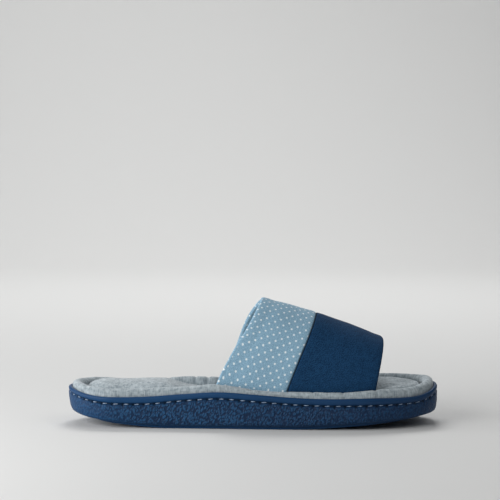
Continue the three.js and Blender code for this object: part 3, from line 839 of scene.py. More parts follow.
def seamless_paper():
    """Matt studio paper: pale, even and without gloss."""
    colours = bpy.context.scene.slipper_colours
    material, tree, shader = new_material("matt_studio_paper")
    place = add_node(tree, "TexCoord").outputs["Object"]
    tooth = add_node(tree, "TexNoise", {"Vector": place, "Scale": 40.0, "Detail": 2.0})
    tint = add_node(tree, "MapRange", {"Value": tooth.outputs["Fac"], 1: 0.0, 2: 1.0, 3: 0.0, 4: 0.04})
    shade = tuple(c * 0.9 for c in colours.floor)
    paper = add_node(
        tree, "Mix", {0: tint.outputs[0], 6: rgba(colours.floor), 7: rgba(shade)}, data_type="RGBA"
    )
    tree.links.new(paper.outputs[2], shader.inputs["Base Color"])
    shader.inputs["Roughness"].default_value = 1.0
    shader.inputs["Specular IOR Level"].default_value = 0.0
    return material


# Sole

STITCH_START = 3.4 * MM
GROOVE_SHOULDER = 0.3 * MM
HOLE_RADIUS = 0.95 * MM
HOLE_DROP = 0.35 * MM
HOLE_DEPTH = 0.9 * MM
# Painted shade along the stitch groove, as a share of the holes' near black
GROOVE_SHADE = 0.7
# Middle of a hole, from the middle of its stitch, as a share of the stitch
HOLE_AHEAD = 0.62
# Soft lumps of the wall that the grain lies on
LUMP = 3.2 * MM
FINE_LUMP = 1.7 * MM
FINE_LUMP_SHARE = 0.6
LUMP_HEIGHT = 0.1 * MM
UNDERSIDE_GRAIN = 0.5
# How far a stitch leans out of the groove and up towards its front end, as shares of its run
STITCH_OUT = 0.2
STITCH_UP = 0.1
STITCH_AIM = 2 * MM
THREAD_FACES = 8
EDGE_ROWS = 14
WALL_ROWS = 11
BEAD_ROWS = 10


def stitch_runs():
    """How far round the sole, from the heel, the middle of each stitch lies."""
    sizes = bpy.context.scene.slipper_sole
    count = round(PERIMETER / sizes.stitch_pitch)
    return [STITCH_START + PERIMETER * k / count for k in range(count)]


def tread_relief(x, y):
    """How far the underside lies recessed: zigzag grooves under heel and ball, and the hollow waist."""
    sizes = bpy.context.scene.slipper_sole
    at = share_at(x)
    inner = edge_at(-1, TREAD_MARGIN, x)
    outer = edge_at(1, TREAD_MARGIN, x)
    if not inner < y < outer:
        return 0.0
    across = (y - inner) / (outer - inner)
    if WAIST.start < at < WAIST.end:
        return sizes.waist_recess
    bends = across * TREAD_BENDS
    wave = (abs(bends % 2 - 1) * 2 - 1) * -TREAD_WAVE / 2
    for zone in TREAD_ZONES:
        pitch = sizes.tread_pitch / SOLE_LENGTH
        count = math.ceil((zone["end"] - zone["start"]) / pitch)
        nearest = round((at - wave / SOLE_LENGTH - zone["start"]) / pitch)
        if 0 <= nearest < count:
            off = abs(x - wave - place_of(zone["start"] + nearest * pitch))
            if off < sizes.tread_width / 2:
                return sizes.tread_depth
    return 0.0


def sole_wall_rows(sizes):
    """Rows of the wall from the underside to the cup's floor. Each is a function of a spot that gives the
    row's inset and height there, and the share of the grain that it carries."""

    def edge_row(f):
        inset = along(EDGE_SECTION, "inset", f)
        rise = along(EDGE_SECTION, "rise", f)
        ledge_left = 1 - smoothstep(f, LEDGE.start, LEDGE.end)

        def row(spot):
            drawn = along(EDGE_SWELL, "drawn", spot.at)
            high = lerp(along(EDGE_SWELL, "more", spot.at), along(EDGE_SWELL, "ledge", spot.at), ledge_left)
            return sizes.rounding * drawn * inset, underside(spot.at) + sizes.rounding * high * rise

        return row

    def wall_row(f):
        low = edge_row(1.0)

        def row(spot):
            groove_foot = bead_foot(spot) - sizes.groove_width - GROOVE_SHOULDER
            return 0.0, lerp(low(spot)[1], groove_foot, f)

        return row

    def groove_row(share, deep):
        def row(spot):
            inset = deep * sizes.groove_depth * along(SIDE, "groove", spot.at)
            return inset, bead_foot(spot) - sizes.groove_width * share

        return row

    def bead_row(f):
        drop = along(BEAD_SECTION, "drop", f)
        inset = along(BEAD_SECTION, "inset", f)

        def row(spot):
            return sizes.lip * inset, lip_top(spot) - bead_height(spot) * drop

        return row

    rows = [(edge_row(i / EDGE_ROWS), smoothstep(i / EDGE_ROWS, 0.3, 0.7)) for i in range(EDGE_ROWS)]
    rows += [(wall_row(i / WALL_ROWS), 1.0) for i in range(WALL_ROWS)]
    rows.append((wall_row(1.0), 0.4))
    rows += [(groove_row(**place), 0.0) for place in GROOVE_SECTION]
    rows += [(bead_row(i / BEAD_ROWS), 0.0) for i in range(BEAD_ROWS + 1)]
    rows.append((lambda spot: (sizes.lip, cup_floor(spot)), 0.0))
    return rows


class SLIPPER_OT_make_sole(bpy.types.Operator):
    """Moulds the rubber cup sole with its grained wall, stitch groove, bead and tread"""

    bl_idname = "slipper.make_sole"
    bl_label = "Make sole"

    def execute(self, context):
        sizes = context.scene.slipper_sole
        rows = sole_wall_rows(sizes)
        ring = 2 * STATIONS
        holes = sorted(run - sizes.stitch_length * HOLE_AHEAD for run in stitch_runs())

        # Gives the hole's depth, and the painted shade of the holes and the groove
        def hole_share(spot, height):
            line = bead_foot(spot) - sizes.groove_width / 2
            if abs(height - line) > 3 * HOLE_RADIUS:
                return 0.0, 0.0
            i = bisect_left(holes, spot.run)
            near = min(abs(spot.run - h) for h in (holes[i - 1], holes[i % len(holes)]))
            hole = math.exp(-(math.hypot(near, height - line + HOLE_DROP) / HOLE_RADIUS) ** 2)
            in_groove = bump(height - line, sizes.groove_width) * along(SIDE, "groove", spot.at)
            return hole, max(hole, GROOVE_SHADE * in_groove)

        bm = bmesh.new()
        grain = bm.verts.layers.float.new("grain")
        hole_and_groove_shade = bm.verts.layers.float.new("hole_and_groove_shade")
        masks = {}

        def wall(i, j):
            spot = OUTLINE[i % ring]
            row, depth = rows[j]
            inset, height = row(spot)
            here = ring_point(spot, inset, height)
            lumps = noise.noise(here / LUMP) + FINE_LUMP_SHARE * noise.noise(here / FINE_LUMP)
            shown = depth * along(GRAIN_DEPTH, "depth", spot.at)
            hole, shade = hole_share(spot, height)
            masks[i, j] = (shown, shade)
            return here + Vector((*spot.out, 0)) * (LUMP_HEIGHT * lumps * shown - HOLE_DEPTH * hole)

        cells = bent_grid(bm, ring, len(rows) - 1, wall)
        for vert, cell in cells.items():
            vert[grain], vert[hole_and_groove_shade] = masks[cell]

        def rib(row):
            def place(i, j, columns):
                spot, other = OUTLINE[i], OUTLINE[(ring - i) % ring]
                a, b = ring_point(spot, *row(spot)), ring_point(other, *row(other))
                return a.lerp(b, j / columns)

            return place

        low = rib(rows[0][0])
        high = rib(rows[-1][0])

        def tread(i, j):
            point = low(i, j, UNDERSIDE_COLUMNS)
            point.z += tread_relief(point.x, point.y)
            return point

        for vert in bent_grid(bm, STATIONS, UNDERSIDE_COLUMNS, tread):
            vert[grain] = UNDERSIDE_GRAIN
        bent_grid(bm, STATIONS, FLOOR_COLUMNS, lambda i, j: high(i, j, FLOOR_COLUMNS))
        close_shell(bm)
        add_piece("moulded_sole", bm, moulded_rubber(), ["outsole"])
        return {"FINISHED"}


class SLIPPER_OT_make_stitching(bpy.types.Operator):
    """Lays the thread of the sole's stitching in the groove under the bead"""

    bl_idname = "slipper.make_stitching"
    bl_label = "Make stitching"

    def execute(self, context):
        sizes = context.scene.slipper_sole
        bm = bmesh.new()
        runs = [s.run for s in OUTLINE]
        for middle in stitch_runs():
            spot = OUTLINE[bisect_left(runs, middle) % len(runs)]
            ahead = OUTLINE[bisect_left(runs, (middle + STITCH_AIM) % PERIMETER) % len(runs)]
            half_groove = sizes.groove_width / 2
            sunk = along(SIDE, "sunk", spot.at) * MM
            here = ring_point(spot, sunk, bead_foot(spot) - half_groove)
            there = ring_point(ahead, sunk, bead_foot(ahead) - half_groove)
            # The thread dives into its hole at the end nearer the heel
            forward = (there - here).normalized() + Vector((*spot.out, 0)) * STITCH_OUT
            forward.z += STITCH_UP
            turn = forward.to_track_quat("X", "Z").to_matrix().to_4x4()
            shape = Matrix.Diagonal((sizes.stitch_length / 2, sizes.thread / 2, sizes.thread / 2, 1))
            bmesh.ops.create_uvsphere(
                bm,
                u_segments=THREAD_FACES,
                v_segments=THREAD_FACES,
                radius=1.0,
                matrix=Matrix.Translation(here) @ turn @ shape,
            )
        bmesh.ops.recalc_face_normals(bm, faces=bm.faces)
        add_piece("sole_stitching", bm, stitching_thread())
        return {"FINISHED"}


# Edge roll

ROLL_ROWS = 20
ROLL_FACE_ROWS = 4
ROLL_ROW_CLOTH = 1 * MM
# How far a fold slants over the roll, and how much of its depth is gone at the inner side
FOLD_SLANT = 1.5 * MM
FOLD_FADE = 0.45
# Gathers over the lip and soft waves of the jersey. run: size along the roll. turns: how often they
# change over it. seed: which noise they follow.
GATHERS = SimpleNamespace(run=1.5 * MM, turns=1.1, seed=3.1, depth=0.24 * MM)
WAVES = SimpleNamespace(run=5.5 * MM, turns=1.6, seed=9.4, depth=0.22 * MM)
# Shares of the section between which the gathers fade, and how much of them is left
GATHERS_FADE = (0.1, 0.62)
GATHERS_LEFT = 0.2


def upper_foot(share, side):
    """Foot of the upper on one side, at a share of its length from the back edge."""
    sole = bpy.context.scene.slipper_sole
    padding = bpy.context.scene.slipper_padding
    upper = bpy.context.scene.slipper_upper
    front = place_of(BAND_FRONT) + (LATERAL_FRONT_STEP if side > 0 else 0)
    back = place_of(BAND_FRONT) - BAND_LENGTH_BASE + (LATERAL_BACK_STEP if side > 0 else 0)
    x = lerp(back, front, share)
    spot = SimpleNamespace(at=share_at(x), side=side)
    inset = sole.lip + GAP + padding.roll_width - upper.margin_wall
    return SimpleNamespace(
        x=x,
        y=edge_at(side, inset, x),
        low=cup_floor(spot) + GAP,
        spring=lip_top(spot) + padding.roll_squeezed / 2,
        bulge=BACK_EDGE_BULGE * (1 - share) ** 2,
        column=side_name(side),
    )


def squeeze(spot, feet, recovery):
    """1 where the upper's foot squeezes the roll, and 0 clear of it."""
    back, front = feet[spot.side]
    rise = smoothstep(spot.x, back - recovery, back)
    return rise * (1 - smoothstep(spot.x, front, front + recovery))


def jersey_noise(waves, spot, share):
    return noise.noise(Vector((spot.run / waves.run, share * waves.turns, waves.seed)))


def roll_folds(spot, share):
    """How far the jersey is drawn in on the roll: listed folds, and fine gathers over the lip."""
    drawn = 0.0
    for fold in ROLL_FOLDS:
        if fold["side"] == spot.side:
            off = spot.x - place_of(fold["at"]) + share * FOLD_SLANT
            drawn += fold["depth"] * MM * bump(off, fold["width"] * MM) * (1 - FOLD_FADE * share)
    gather = max(-jersey_noise(GATHERS, spot, share), 0) ** 0.8
    drawn += GATHERS.depth * gather * lerp(1, GATHERS_LEFT, smoothstep(share, *GATHERS_FADE))
    return drawn + WAVES.depth * jersey_noise(WAVES, spot, share)


class SLIPPER_OT_make_edge_roll(bpy.types.Operator):
    """Makes the padded edge roll of marl jersey, gathered over the sole's lip"""

    bl_idname = "slipper.make_edge_roll"
    bl_label = "Make edge roll"

    def execute(self, context):
        sizes = context.scene.slipper_padding
        upper = context.scene.slipper_upper
        outer = context.scene.slipper_sole.lip + GAP
        feet = {side: (upper_foot(0, side).x, upper_foot(1, side).x) for side in (-1, 1)}
        ring = 2 * STATIONS
        section = [(0.0, f / ROLL_FACE_ROWS - 1) for f in range(ROLL_FACE_ROWS)]
        shares = [k / ROLL_ROWS for k in range(ROLL_ROWS + 1)]
        section += [(along(ROLL_SECTION, "across", share), share) for share in shares]
        section += [(1.0, 1 + (f + 1) / ROLL_FACE_ROWS) for f in range(ROLL_FACE_ROWS)]
        section.append(section[0])

        spots = []
        for spot in OUTLINE:
            squeezed = squeeze(spot, feet, sizes.roll_recovery)
            free = sizes.roll_height * along(PADDING, side_name(spot.side), spot.at)
            crest = lerp(free, sizes.roll_squeezed * along(PADDING, "pressed", spot.at), squeezed)
            width = lerp(sizes.roll_width, sizes.roll_width - upper.margin_wall - GAP, squeezed)
            spots.append((spot, crest, width, cup_floor(spot) + GAP, lip_top(spot)))

        def place(i, j):
            spot, crest, width, floor, lip = spots[i % ring]
            across, share = section[j]
            if share < 0 or share > 1:
                foot = lip + crest * ROLL_SECTION[0]["up"]
                f = -share if share < 0 else share - 1
                return ring_point(spot, outer + width * across, lerp(foot, floor, f))
            drawn = roll_folds(spot, share) * math.sin(math.pi * (0.08 + 0.84 * share)) ** 0.5
            up = crest * along(ROLL_SECTION, "up", share) - drawn * math.sin(math.pi * share)
            inset = width * across + drawn * math.cos(math.pi * share)
            return ring_point(spot, outer + inset, lip + up)

        bm = bmesh.new()
        runs = [s.run for s in OUTLINE] + [PERIMETER]
        bent_grid(bm, ring, len(section) - 1, place, lambda i, j: (runs[i], j * ROLL_ROW_CLOTH))
        close_shell(bm)
        material = marl_jersey("marl_jersey_tube", True, (0.9 * MM, 7 * MM))
        piece = add_piece("jersey_edge_roll", bm, material, ["edge_roll"])
        return {"FINISHED"}


# Footbed

FOOTBED_STATIONS = 90
FOOTBED_ACROSS = 30
# Where a rounding of two faces has its corner, as a share of its radius: about 1 - cos 45 degrees
ROUND_CORNER = 0.3
START_SMALLER = 0.7 * MM
START_LOWER = 1.6 * MM
CLOTH_FRAMES = 20
CLOTH_PRESSURE = 4


def footbed_top(sizes, spot):
    return SIDE_HEIGHT * along(PADDING, "bed", spot.at) + sizes.footbed_rise


def swell(piece, sizes):
    """Fills a closed pad with cloth simulation, and holds each point near where it began. Its faces are
    evened out first. The sides may hardly move, because the edge roll holds them."""
    scene = bpy.context.scene
    scene.frame_set(1)
    even = piece.modifiers.new("even_faces", "REMESH")
    even.mode = "VOXEL"
    even.voxel_size = sizes.voxel
    apply_modifiers(piece)
    start = [v.co.copy() for v in piece.data.vertices]
    stuffing = piece.modifiers.new("stuffing", "CLOTH")
    stuffing.settings.use_pressure = True
    stuffing.settings.uniform_pressure_force = CLOTH_PRESSURE
    stuffing.settings.effector_weights.gravity = 0
    stuffing.point_cache.frame_start = 1
    stuffing.point_cache.frame_end = CLOTH_FRAMES
    for number in range(1, CLOTH_FRAMES + 1):
        scene.frame_set(number)
    apply_modifiers(piece)
    for vert, before in zip(piece.data.vertices, start):
        moved = vert.co - before
        moved.z = min(max(moved.z, 0), sizes.swelling)
        side = Vector((moved.x, moved.y))
        if side.length > START_SMALLER:
            side.length = START_SMALLER
        vert.co = before + Vector((side.x, side.y, moved.z))
    scene.frame_set(1)


def apply_modifiers(piece):
    """Turns what a piece's modifiers make into its own mesh."""
    graph = bpy.context.evaluated_depsgraph_get()
    graph.update()
    made = bpy.data.meshes.new_from_object(piece.evaluated_get(graph))
    piece.modifiers.clear()
    old = piece.data
    piece.data = made
    bpy.data.meshes.remove(old)


class SLIPPER_OT_make_footbed(bpy.types.Operator):
    """Makes the soft footbed, crowned under the heel, and fills it by cloth simulation"""

    bl_idname = "slipper.make_footbed"
    bl_label = "Make footbed"

    def execute(self, context):
        sizes = context.scene.slipper_padding
        inset = context.scene.slipper_sole.lip + 2 * GAP + sizes.roll_width + START_SMALLER
        spots = make_outline(FOOTBED_STATIONS)
        ring = len(spots)
        soft = sizes.footbed_rounding
        drops = ((0.0, soft), (ROUND_CORNER * soft, ROUND_CORNER * soft), (soft, 0.0))

        def edge(i, j):
            spot = spots[i % ring]
            top = footbed_top(sizes, spot)
            if j == 0:
                return ring_point(spot, inset, cup_floor(spot) + GAP)
            into, drop = drops[j - 1]
            return ring_point(spot, inset + into, top - drop)

        rim = [edge(i, 3) for i in range(ring)]

        def face(i, j, row):
            a, b = edge(i, row), edge((ring - i) % ring, row)
            return a.lerp(b, j / FOOTBED_ACROSS)

        def crowned(i, j):
            point = face(i, j, 3)
            to_edge = min(math.hypot(r.x - point.x, r.y - point.y) for r in rim[::2])
            pillow = 1 - (1 - min(to_edge / sizes.pillow_edge, 1)) ** 3
            rise = sizes.footbed_crown * along(PADDING, "crown", share_at(point.x))
            point.z += (rise - START_LOWER) * pillow
            return point

        bm = bmesh.new()
        bent_grid(bm, ring, 3, edge)
        bent_grid(bm, FOOTBED_STATIONS, FOOTBED_ACROSS, crowned)
        bent_grid(bm, FOOTBED_STATIONS, FOOTBED_ACROSS, lambda i, j: face(i, j, 0))
        close_shell(bm, 1e-5)
        material = marl_jersey("marl_jersey_footbed", False, (1.3 * MM, 2.6 * MM))
        piece = add_piece("jersey_footbed", bm, material, ["footbed"])
        swell(piece, sizes)
        smooth = piece.modifiers.new("smooth_cover", "SUBSURF")
        smooth.levels = smooth.render_levels = 1
        apply_modifiers(piece)
        piece.data.shade_smooth()
        return {"FINISHED"}


# Upper

PANEL_ROWS = 72
HEM_ROWS = 8
HEM_RADIUS = 1.6 * MM
HEM_REACH = 1.05 * HEM_RADIUS
SEAM_CLEARANCE = 0.12 * MM
# Rows lie closer together by the seam, and the crease falls off fast
SEAM_CROWDING = 1.25
CREASE_POWER = 2.6
FOLD_SPREAD = 1.6
# Uneven padding under the cloth: sizes along and across the upper, and height
LUMPS_ALONG = 6.5
LUMPS_ACROSS = 26
LUMPS_SEED = 1.7
LUMPS_HEIGHT = 0.25 * MM
# Stretch in which the inner face gives way to the lining, as a share of the upper's length
TUCK = 0.012
# How much of the wall the lining may take, and how much of the folds shows on the upright margin
LINING_SHARE = 0.45
MARGIN_FOLDS = 0.3
# Cloth used up by a hem, per metre of wall and of ease
HEM_CLOTH = 1.2
EASE_CLOTH = 0.3
SIDE_STEP = 0.004
LINES = {}


def upper_line(share):
    """Points on the outer face of the upper, from the inner foot over the arch to the outer foot."""
    feet = [upper_foot(share, -1), upper_foot(share, 1)]
    top_x = place_of(BAND_FRONT) + BAND_OVERHANG - BAND_LENGTH_TOP * (1 - share)
    top_z = TOE_OPENING_HEIGHT + (INSTEP_HEIGHT - TOE_OPENING_HEIGHT) * along(ARCH, "top", share)
    top_z += TOP_BULGE * math.sin(math.pi * share)
    half = (feet[1].y - feet[0].y) / 2
    top_y = (feet[0].y + feet[1].y) / 2 + half * along(ARCH, "ridge", share)

    def half_line(foot, fullness):
        points = []
        for i in range(LEG_COLUMNS):
            points.append((0.0, Vector((foot.x, foot.y, lerp(foot.low, foot.spring, i / LEG_COLUMNS)))))
        for i in range(ARCH_COLUMNS // 2 + 1):
            angle = math.pi * i / ARCH_COLUMNS
            across = max(math.cos(angle), 0) ** (2 / fullness)
            up = math.sin(angle) ** (2 / fullness)
            x = lerp(foot.x, top_x, up) - foot.bulge * along(BACK_EDGE, foot.column, up)
            points.append((up, Vector((x, lerp(top_y, foot.y, across), lerp(foot.spring, top_z, up)))))
        return points

    medial = half_line(feet[0], along(ARCH, "medial", share))
    lateral = half_line(feet[1], along(ARCH, "lateral", share))
    return medial + lateral[-2::-1]


def upper_frames(share):
    """At each point of a line: the point, the way out, the way towards the toe, the wall and the rise."""
    key = round(share, 5)
    if key not in LINES:
        sizes = bpy.context.scene.slipper_upper
        line = upper_line(share)
        back = upper_line(max(share - SIDE_STEP, 0))
        front = upper_line(min(share + SIDE_STEP, 1))
        frames = []
        for c, (up, point) in enumerate(line):
            before = line[max(c - 1, 0)][1]
            after = line[min(c + 1, len(line) - 1)][1]
            forward = front[c][1] - back[c][1]
            out = forward.cross(after - before).normalized()
            wall = lerp(sizes.margin_wall, sizes.wall, min(up / FULL_WALL_FROM, 1))
            frames.append(
                SimpleNamespace(point=point, out=out, forward=forward.normalized(), wall=wall, up=up)
            )
        LINES[key] = frames
    return LINES[key]


def panel_relief(share, column):
    """How far the cloth stands out from the upper's plain form: soft folds, and the turn down to the seam."""
    sizes = bpy.context.scene.slipper_upper
    relief = 0.0
    for fold in PANEL_FOLDS:
        off = (share - fold["at"]) * BAND_LENGTH_TOP
        relief -= fold["depth"] * MM * bump(off, fold["width"] * MM * FOLD_SPREAD)
    relief += LUMPS_HEIGHT * noise.noise(Vector((share * LUMPS_ALONG, column / LUMPS_ACROSS, LUMPS_SEED)))
    to_seam = abs(share - PANEL_SEAM) * BAND_LENGTH_TOP
    relief -= sizes.seam_sink * max(1 - to_seam / sizes.seam_round, 0) ** CREASE_POWER
    return relief


def panel_section(start, end, hem_end):
    """The closed section of a panel as (share, ease, depth, relief): from the seam along the outer face,
    round the hem at hem_end, and back along the inner face. ease: metres along the upper. depth: share of
    the wall."""
    sizes = bpy.context.scene.slipper_upper
    toward_hem = -1 if hem_end == start else 1
    seam_end = end if hem_end == start else start
    flat_end = hem_end - toward_hem * HEM_REACH / BAND_LENGTH_TOP
    section = []
    for k in range(PANEL_ROWS + 1):
        share = lerp(seam_end, flat_end, (k / PANEL_ROWS) ** SEAM_CROWDING)
        section.append((share, toward_hem * SEAM_CLEARANCE * (k == 0), 0.0, 1.0))
    for k in range(HEM_ROWS + 1):
        angle = math.pi * k / HEM_ROWS
        ease = -toward_hem * HEM_RADIUS * (1 - math.sin(angle))
        section.append((hem_end, ease, (1 - math.cos(angle)) / 2, 0.0))
    facing = sizes.facing / BAND_LENGTH_TOP
    for k in range(PANEL_ROWS // 2 + 1):
        share = lerp(flat_end, seam_end, k / (PANEL_ROWS // 2))
        tucked = smoothstep(abs(share - hem_end), facing, facing + TUCK)
        section.append((share, toward_hem * SEAM_CLEARANCE * (k == PANEL_ROWS // 2), 1.0, -tucked))
    section.append(section[0])
    return section


def panel_point(entry, column):
    """A point of a panel. A relief of 1 carries the outer folds, and below 0 it leaves room for lining."""
    share, ease, depth, relief = entry
    sizes = bpy.context.scene.slipper_upper
    spot = upper_frames(share)[column]
    stand = -depth * spot.wall
    if relief > 0:
        raised = panel_relief(share, column)
        stand += raised if spot.up > 0 else raised * MARGIN_FOLDS
    elif relief < 0:
        stand -= relief * min(sizes.lining, spot.wall * LINING_SHARE)
    return spot.point + spot.forward * ease + spot.out * stand


def lay_cloth(shares, columns):
    """Lays flat cloth on the upper from its seam: for each share, where each column lies on the cloth, in
    metres. Along the seam the cloth runs with the seam, and each step away from it is measured along and
    across the line."""
    laid = {}
    for direction in (-1, 1):
        reach = sorted({PANEL_SEAM} | {s for s in shares if (s - PANEL_SEAM) * direction > 0})
        if direction < 0:
            reach.reverse()
        seam = [f.point for f in upper_frames(PANEL_SEAM)]
        run = 0.0
        here = []
        for c in range(columns):
            run += (seam[c] - seam[c - 1]).length if c else 0.0
            here.append(Vector((run, 0.0)))
        laid[PANEL_SEAM] = here
        for previous, share in zip(reach, reach[1:]):
            old, new = upper_frames(previous), upper_frames(share)
            row = []
            for c in range(columns):
                step = new[c].point - old[c].point
                a, b = max(c - 1, 0), min(c + 1, columns - 1)
                line = (old[b].point - old[a].point).normalized()
                level = old[c].out.cross(line).normalized()
                row.append(laid[previous][c] + Vector((step.dot(line), step.dot(level))))
            laid[share] = row
    return laid


def make_panel(name, start, end, hem_end, material):
    """Makes one padded panel of the upper as a closed shell."""
    section = panel_section(start, end, hem_end)
    columns = len(upper_frames(PANEL_SEAM))
    laid = lay_cloth([entry[0] for entry in section], columns)
    away = 1 if hem_end == start else -1

    def lay(i, j):
        share, ease, depth, _ = section[j]
        spread = laid[share][i]
        turned = upper_frames(share)[i].wall * depth * HEM_CLOTH + abs(ease) * EASE_CLOTH
        return spread + Vector((0, turned)) * away

    bm = bmesh.new()
    bent_grid(bm, columns - 1, len(section) - 1, lambda i, j: panel_point(section[j], i), lay)
    close_shell(bm)
    piece = add_piece(name, bm, material, ["upper"])


class SLIPPER_OT_make_rear_panel(bpy.types.Operator):
    """Makes the upper's rear panel of dotted cotton, with its turned hem and facing"""

    bl_idname = "slipper.make_rear_panel"
    bl_label = "Make rear panel"

    def execute(self, context):
        make_panel("dotted_rear_panel", 0.0, PANEL_SEAM, 0.0, dotted_cotton())
        return {"FINISHED"}


class SLIPPER_OT_make_front_panel(bpy.types.Operator):
    """Makes the upper's front panel of navy cotton, with its turned hem and facing"""

    bl_idname = "slipper.make_front_panel"
    bl_label = "Make front panel"

    def execute(self, context):
        make_panel("navy_front_panel", PANEL_SEAM, 1.0, 1.0, brushed_navy_cotton())
        return {"FINISHED"}


LINING_ROWS = 60
# How far the lining runs under a facing, as a share of the upper's length
LINING_OVERLAP = 0.01
LINING_CLEARANCE = 0.15 * MM
LINING_EDGE = SimpleNamespace(width=2 * MM, tuck=0.5 * MM)


class SLIPPER_OT_make_lining(bpy.types.Operator):
    """Makes the jersey lining inside the upper, between the two facings"""

    bl_idname = "slipper.make_lining"
    bl_label = "Make lining"

    def execute(self, context):
        sizes = context.scene.slipper_upper
        facing = sizes.facing / BAND_LENGTH_TOP - LINING_OVERLAP
        shares = [lerp(facing, 1 - facing, k / LINING_ROWS) for k in range(LINING_ROWS + 1)]
        section = [(share, 1.0) for share in shares] + [(share, 0.0) for share in reversed(shares)]
        section.append(section[0])
        columns = len(upper_frames(PANEL_SEAM))
        laid = lay_cloth(shares, columns)

        def place(i, j):
            share, inner = section[j]
            spot = upper_frames(share)[i]
            room = min(sizes.lining, spot.wall * LINING_SHARE)
            edge = bump(min(share - facing, 1 - facing - share) * BAND_LENGTH_TOP, LINING_EDGE.width)
            stand = (room - LINING_CLEARANCE) * (1 - inner) + LINING_EDGE.tuck * edge * inner - spot.wall
            return spot.point + spot.out * stand

        bm = bmesh.new()
        bent_grid(bm, columns - 1, len(section) - 1, place, lambda i, j: laid[section[j][0]][i])
        close_shell(bm)
        material = marl_jersey("marl_jersey_lining", True, (1.1 * MM, 4 * MM))
        add_piece("jersey_lining", bm, material, ["upper"])
        return {"FINISHED"}


# Stage

CAMERA_DISTANCE = 1.2996
CAMERA_HEIGHT = 0.1965
CAMERA_SHIFT = -0.002
CAMERA_PITCH = 3.21
CAMERA_LENS = 130
SENSOR = 36
SWEEP_RADIUS = 0.7
SWEEP_START = 1.6
SWEEP_HALF_WIDTH = 4.0
SWEEP_WALL = 2.0
SWEEP_COLUMNS = 4
SWEEP_FLOOR_ROWS = 4
SWEEP_BEND_ROWS = 16
WORLD_STRENGTH = 0.1
# Square lights. size: length of a side. power: watts.
SHOE = (0, 0, 0.03)
LIGHTS = table(
    "name place target size power",
    ("low_left", (-1.1, 0.0, 0.25), SHOE, 0.5, 5.0),
    ("window_left", (-0.7, -0.9, 0.5), SHOE, 0.6, 6.1),
    ("close_left", (-0.5, -0.3, 0.25), (-0.1, 0, 0.03), 0.25, 0.95),
    ("ceiling", (0.2, -0.1, 1.8), (0.1, 0, 0), 1.8, 3.0),
    ("high_back", (0.1, 1.1, 1.4), (0, 0, 0), 0.6, 7.6),
    ("right_fill", (0.9, -0.5, 0.9), (0.25, -0.25, 0), 0.8, 1.8),
    ("paper_light", (-0.3, 1.3, 1.9), (-0.2, 2.4, 0.25), 1.4, 25.0),
)


def add_light(name, place, target, size, power):
    """A soft square light that faces a point and isn't seen itself."""
    light = bpy.data.lights.new(name, "AREA")
    light.shape = "SQUARE"
    light.size = size
    light.energy = power
    lamp = bpy.data.objects.new(name, light)
    lamp.location = place
    lamp.rotation_euler = (Vector(target) - Vector(place)).to_track_quat("-Z", "Y").to_euler()
    lamp.visible_camera = False
    bpy.context.scene.collection.objects.link(lamp)


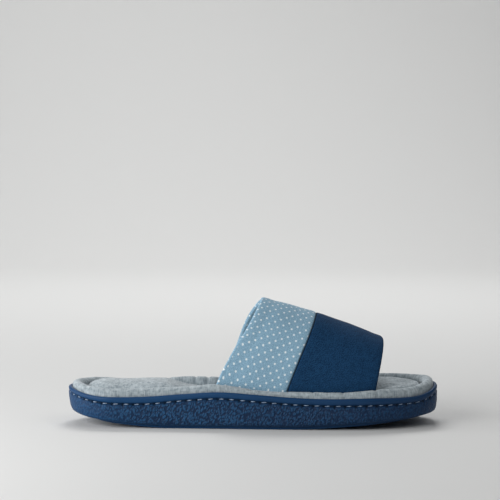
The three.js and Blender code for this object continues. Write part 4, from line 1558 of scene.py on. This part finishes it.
class SLIPPER_OT_make_stage(bpy.types.Operator):
    """Sets the studio: pale paper, soft light from the left and the camera at the photograph's angle"""

    bl_idname = "slipper.make_stage"
    bl_label = "Make stage"

    def execute(self, context):
        scene = context.scene
        bm = bmesh.new()
        sweep_rows = SWEEP_FLOOR_ROWS + SWEEP_BEND_ROWS + 1

        def sweep(i, j):
            x = lerp(-SWEEP_HALF_WIDTH, SWEEP_HALF_WIDTH, i / SWEEP_COLUMNS)
            if j <= SWEEP_FLOOR_ROWS:
                return Vector((x, lerp(-SWEEP_HALF_WIDTH, SWEEP_START, j / SWEEP_FLOOR_ROWS), 0))
            angle = math.pi / 2 * min((j - SWEEP_FLOOR_ROWS) / SWEEP_BEND_ROWS, 1)
            height = SWEEP_RADIUS * (1 - math.cos(angle)) + (SWEEP_WALL if j == sweep_rows else 0.0)
            return Vector((x, SWEEP_START + SWEEP_RADIUS * math.sin(angle), height))

        bent_grid(bm, SWEEP_COLUMNS, sweep_rows, sweep)
        stand_shell("paper_sweep", bm, seamless_paper())

        world = bpy.data.worlds.new("studio")
        world.use_nodes = True
        sky = next(n for n in world.node_tree.nodes if n.type == "BACKGROUND")
        sky.inputs["Color"].default_value = rgba(srgb("#e9edf0"))
        sky.inputs["Strength"].default_value = WORLD_STRENGTH
        scene.world = world
        for light in LIGHTS:
            add_light(**light)

        scene.view_settings.view_transform = "Standard"
        camera = bpy.data.cameras.new("camera")
        camera.lens = CAMERA_LENS
        camera.sensor_width = SENSOR
        seat = bpy.data.objects.new("camera", camera)
        seat.location = (CAMERA_SHIFT, -CAMERA_DISTANCE, CAMERA_HEIGHT)
        seat.rotation_euler = (math.radians(90 - CAMERA_PITCH), 0, 0)
        scene.collection.objects.link(seat)
        scene.camera = seat
        return {"FINISHED"}


class SLIPPER_PT_panel(bpy.types.Panel):
    """Lists the slipper's pieces and its sizes and colours"""

    bl_idname = "SLIPPER_PT_panel"
    bl_label = "Scuff slipper"
    bl_space_type = "VIEW_3D"
    bl_region_type = "UI"
    bl_category = "Slipper"

    def draw(self, context):
        layout = self.layout
        for operator in OPERATORS:
            layout.operator(operator.bl_idname)
        for name, group in GROUPS.items():
            box = layout.box()
            values = getattr(context.scene, name)
            for key in group.__annotations__:
                box.prop(values, key)


GROUPS = {
    "slipper_sole": SlipperSoleSizes,
    "slipper_padding": SlipperPaddingSizes,
    "slipper_upper": SlipperUpperSizes,
    "slipper_colours": SlipperColours,
}
OPERATORS = (
    SLIPPER_OT_make_sole,
    SLIPPER_OT_make_stitching,
    SLIPPER_OT_make_edge_roll,
    SLIPPER_OT_make_footbed,
    SLIPPER_OT_make_rear_panel,
    SLIPPER_OT_make_front_panel,
    SLIPPER_OT_make_lining,
    SLIPPER_OT_make_stage,
)


def register():
    for made in (*GROUPS.values(), *OPERATORS, SLIPPER_PT_panel):
        bpy.utils.register_class(made)
    for name, group in GROUPS.items():
        setattr(bpy.types.Scene, name, bpy.props.PointerProperty(type=group))


def unregister():
    for name in GROUPS:
        delattr(bpy.types.Scene, name)
    for made in reversed((*GROUPS.values(), *OPERATORS, SLIPPER_PT_panel)):
        bpy.utils.unregister_class(made)


def main():
    """Makes the stage and every piece."""
    register()
    bpy.ops.slipper.make_stage()
    bpy.ops.slipper.make_sole()
    bpy.ops.slipper.make_stitching()
    bpy.ops.slipper.make_edge_roll()
    bpy.ops.slipper.make_footbed()
    bpy.ops.slipper.make_rear_panel()
    bpy.ops.slipper.make_front_panel()
    bpy.ops.slipper.make_lining()


if __name__ == "__main__":
    main()
